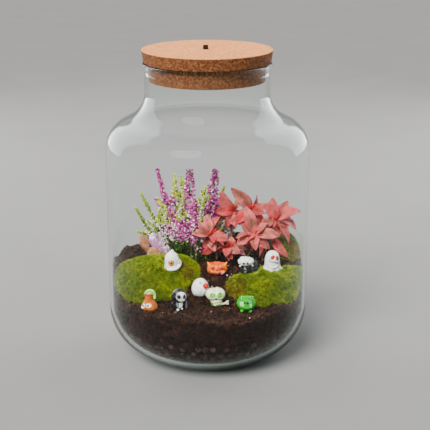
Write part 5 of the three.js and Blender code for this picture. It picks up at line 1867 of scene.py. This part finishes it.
def cauldron_ghost(figure):
    pot = figure.skin("black", 3)
    pot.lathe([
        (0, 0), (4.8, 0), (6.2, 0.7), (7.1, 2.4), (7.4, 4.4), (6.8, 5.8),
        (6.2, 6.3), (7.0, 7.0), (7.1, 7.6), (6, 7.8), (0, 7.6),
    ])
    for radius, height in ((7.3, 2.3), (7.6, 4.8)):
        ring = [(radius * math.cos(a), radius * math.sin(a), height) for a in np.linspace(0, TURN, 17)]
        pot.rod(ring, [0.6, 0.6])
    pot.done()
    # A dark slate lump behind the pot, put where there is only shadow beside the figure: a painted shadow.
    shadow_lump = figure.skin("slate", 4)
    shadow_lump.ball(7.4, 3, 6.6, 4.6, 4.4, 5.4)
    shadow_lump.ball(8.6, 1.6, 3, 3.6, 3.8, 3.2)
    shadow_lump.done()
    cloud = figure.skin("white", 4)
    cloud.ball(-0.6, 0, 11.4, 8.0, 6.0, 4.4)
    rng = np.random.default_rng(5)
    for i in range(26):
        angle, up = rng.uniform(0, TURN), rng.uniform(-0.5, 1.1)
        x, y = polar(math.cos(up), angle)
        cloud.ball(-0.6 + 7.0 * x, 5.2 * y, 11.6 + 3.5 * math.sin(up), rng.uniform(1.2, 1.8))
    for side in (-1, 1):
        cloud.ball(6.2 * side - 0.6, -3.6, 8.0, 1.0, 1.0, 0.9)
    cloud.done()
    cloud.disc("black", -3.6, 11.2, 1.1, rise=0.7)
    cloud.disc("black", 0.3, 11.5, 1.1, rise=0.7)
    cloud.stroke("grey", [(-2.4, 9.8), (-1.6, 9.3), (-0.8, 9.8)], 0.25, 10)


def ghost_grin(figure):
    skin = figure.skin("white")

    def draped(points):
        angle = np.arctan2(points[:, 1], points[:, 0])
        low = 1 - smooth_step(0.5, 9, points[:, 2])
        folds = 0.09 * np.cos(7 * angle + 0.6) + 0.05 * np.cos(4 * angle + 2)
        points[:, :2] *= (1 + low * folds)[:, None]
        return points

    skin.lathe([
        (0, 0), (7.8, 0), (8.7, 0.6), (8.2, 1.8), (7.7, 4), (7.6, 7), (7.5, 10),
        (7, 13), (5.9, 15.9), (4, 18.1), (2, 19.1), (0, 19.3),
    ], 1.0, draped)
    skin.rod([(-6.4, -2, 3), (-8.2, -2.6, 1.3), (-9.3, -2.8, 0.8)], [1.8, 1.3, 0.7])
    skin.rod([(6, -2.6, 3.2), (8.4, -3.2, 1.6), (10.2, -3.6, 1.0)], [2.0, 1.4, 0.6])
    skin.rod([(-4.2, -7, 5.6), (-1.6, -7.8, 4.2), (1.4, -7.8, 4.4), (4, -7.2, 5.8)], [0.5, 0.8, 0.8, 0.5])
    skin.done()
    skin.disc("red", -0.7, 14.4, 2.3, 1.75, 0.6, 0.5)
    skin.disc("rose", -0.9, 14.2, 1.3, 0.8, 0.6, 0.7)
    skin.disc("red", 3.9, 13.1, 1.5, 2.4, 0.2, 0.5)
    grin = [(-4.6, 12.4), (-3.2, 10.6), (-1.2, 9.9), (0.8, 10.1), (2.6, 8.9), (4.6, 8.4), (5.6, 9.4)]
    skin.stroke("slate", grin, 0.26, 40)
    for x, z in smooth_line([(x, 0, z) for x, z in grin], 11)[1:-1][:, [0, 2]]:
        skin.stroke("slate", [(x - 0.15, z - 0.9), (x, z), (x + 0.15, z + 0.9)], 0.24, 8)


def potion_flask(figure):
    skin = figure.skin("amber", 4)
    skin.lathe([
        (0, 0), (6.6, 0), (8.0, 0.9), (8.2, 2.2), (7.6, 4.2), (6.2, 6.8), (5.0, 9), (4.3, 11),
        (4.1, 12.6), (4.5, 13.1), (4.9, 13.6), (4.5, 14.2), (4.4, 14.6), (5.0, 15.2), (5.2, 16),
        (4.8, 16.7), (3.6, 16.9), (0, 16.7),
    ], 0.95)
    skin.done()
    slime = figure.skin("mint", 4)
    slime.ball(0.4, 0, 16.9, 4.3, 3.9, 2.2)
    drip = [
        (-3.2, -2, 16.6), (-1.4, -2.4, 18.6), (1.4, -2.2, 19.5), (4, -1.6, 18.4),
        (5.4, -1.2, 15.8), (5.6, -1.4, 13), (5.5, -1.6, 11.4),
    ]
    slime.rod(drip, [0.9, 1.3, 1.5, 1.5, 1.3, 1.2, 1.5])
    slime.done()
    skin.disc("white", -4.6, 4.4, 2.6, 1.6, 1.0, 0.5)
    skin.disc("white", 0.8, 5.6, 2.8, 2.0, -0.1, 0.55)
    skin.disc("black", -4.3, 5.1, 0.95, rise=1.0)
    skin.disc("black", 0.1, 5.7, 1.0, rise=1.1)
    skin.stroke("yellow", [(-4, 13.2), (-1.5, 12.8), (1.5, 12.8), (4, 13.2)], 0.2)


def reaper(figure):
    skin = figure.skin("black", 4)
    skin.lathe([(0, 0), (6.0, 0), (6.6, 0.8), (6.2, 3), (5.8, 6), (5.2, 8.6), (3.8, 10.4), (0, 11)])
    skin.ball(0, 0.6, 13.2, 7.3, 6.9, 6.9)
    hood_edge = [
        (1.4 + 5.6 * math.cos(a), -4.4 - 0.9 * math.cos(a) ** 2, 14.1 + 5.0 * math.sin(a))
        for a in np.linspace(0, TURN, 17)
    ]
    skin.rod(hood_edge, [1.0, 1.0])
    skin.ball(-6, -2.6, 5.4, 1.9, 2.2, 3)
    skin.done()
    face = figure.skin("white", 4)
    face.ball(1.5, -4.6, 14.4, 5.5, 2.8, 4.7)
    face.ball(2.0, -5.4, 10.9, 3.3, 2.0, 2.0)
    face.done()
    face.disc("grey", -0.8, 14.8, 2.2, 2.7, 0.4, 0.2)
    face.disc("black", -0.7, 14.7, 1.5, 2.0, 0.4, 0.35)
    face.disc("black", 4.3, 14.6, 1.25, 2.3, -0.15, 0.35)
    face.mark("black", [(1.4, 11.8), (2.8, 11.8)], [(1.4, 11.8), (2.1, 13.0), (2.8, 11.8)], 0.3, 7)
    face.stroke("black", [(-0.9, 11.0), (0.6, 10.4), (2.2, 10.3), (4.2, 10.8)], 0.22)
    for x in (-0.1, 0.9, 1.9, 2.9, 3.7):
        face.stroke("black", [(x, 9.6), (x, 10.4), (x, 11.1)], 0.17, 8)
    for z, half in ((7.4, 2.8), (5.9, 3.1), (4.4, 2.5)):
        skin.stroke("grey", [(-half, z + 0.8), (-half * 0.6, z), (-0.5, z - 0.4)], 0.5)
        skin.stroke("white", [(half, z + 0.8), (half * 0.6, z), (0.7, z - 0.4)], 0.5)
    skin.stroke("white", [(0.1, 8), (0.2, 5.5), (0.1, 3)], 0.55)
    skin.knob("white", -1.6, 1.5, 1.3)
    skin.knob("white", 2.2, 2.4, 0.9)
    staff = figure.skin("grey", 2)
    staff.rod([(6.4, -2, 0.7), (6.5, -2, 7), (6.2, -1.8, 12.4)], [0.75, 0.75, 0.75])
    staff.done()


def ghost_red_nose(figure):
    skin = figure.skin("white", 3)

    def bumpy(points):
        out = 1 + 0.055 * noise_at(points, 2.0, 6) + 0.03 * noise_at(points, 4.0, 7)
        points[:, :2] *= out[:, None]
        return points

    skin.lathe([
        (0, 0), (5.6, 0), (7.2, 0.9), (8.3, 3.2), (8.7, 6.2), (8.2, 9.2),
        (6.9, 12.2), (4.9, 14.8), (2.6, 16.3), (0, 16.8),
    ], 1.0, bumpy)
    skin.rod([(6.4, -3.6, 9.4), (7.6, -1.6, 7.2), (7.8, -0.4, 5)], [0.9, 1.0, 0.7])
    skin.done()
    skin.disc("black", -1.8, 14.0, 0.95, 0.8, rise=0.4)
    skin.knob("red", 2.7, 10.9, 2.75, 0.75)


def skull_figure(figure):
    skin = figure.skin("cream", 4)
    for side in (-1, 1):
        skin.ball(2.3 * side, 0, 11.5, 7.1, 7.9, 6.1)
    skin.ball(0.4, -1.8, 6, 5.9, 5.6, 3.6)
    skin.ball(0.9, -2.6, 2.9, 5.2, 4.8, 2.8)
    skin.ball(1.3, 0, 17.2, 1.5)
    skin.rod([(4, -3.6, 2.2), (8, -3.4, 3.0), (10.4, -3.2, 3.6)], [1.3, 1.1, 1.2])
    skin.ball(11, -3.2, 4.6, 1.35)
    skin.ball(11.2, -3.4, 2.7, 1.35)
    skin.done()
    for x, z in ((-3.6, 12.6), (3.4, 12.6)):
        socket = [(x + 2.8 * math.cos(a), z + 2.8 * math.sin(a)) for a in np.linspace(0, TURN, 15)]
        skin.stroke("cream", socket, 0.5, 40)
        skin.disc("green", x, z, 2.6, rise=0.15)
        skin.disc("lime", x + 0.25, z - 0.35, 1.9, rise=0.25)
    skin.disc("green", 0, 8.9, 1.1, 1.3, rise=0.3)
    skin.disc("green", 1.6, 3.0, 2.9, 0.75, 0.12, 0.2)
    skin.disc("lime", -4.4, 3.6, 1.7, 1.6, 0.3, 0.5)


def green_monster(figure):
    skin = figure.skin("green", 4)
    skin.ball(0, 0, 7.6, 9.5, 8.4, 7.6)
    for side in (-1, 1):
        skin.ball(4.9 * side, -0.8, 13.4, 2.5, 2.2, 2.0, 0.5 * side)
        brow = [(3.2 * side, -3.0, 13.6), (5.2 * side, -3.9, 13.4), (7.4 * side, -3.4, 12.2)]
        skin.rod(brow, [0.5, 0.7, 0.5])
        skin.ball(3.9 * side, -4.8, 1.4, 1.9, 2.3, 1.4)
    skin.rod([(-1.2, -7.4, 12.6), (0.2, -7.9, 11.0), (1.4, -7.4, 12.6)], [0.4, 0.6, 0.4])
    skin.ball(0.3, -5.8, 5.4, 4.4, 3.0, 2.8)
    skin.done()
    # The two pale mint ovals on the body are painted highlights.
    skin.disc("mint", -3.6, 8.6, 2.2, 2.8, 0.35, 0.3)
    skin.disc("mint", 4.6, 7.6, 1.2, 3.0, 0.12, 0.3)
    skin.disc("black", -1.5, 10.4, 0.9, rise=0.5)
    skin.disc("black", 1.6, 10.5, 0.95, rise=0.5)
    skin.disc("grey", 4.0, 10.8, 1.1, rise=0.45)
    skin.disc("black", 3.7, 10.8, 0.5, rise=0.7)
    skin.stroke("slate", [(-1.6, 5.6), (0.2, 4.9), (2.0, 5.4)], 0.22)


for build in (
    ghost_one_eye, pumpkin_cat, cauldron_ghost, ghost_grin, potion_flask,
    reaper, ghost_red_nose, skull_figure, green_monster,
):
    figure = Figure(build.__name__)
    build(figure)
    figure.stand()
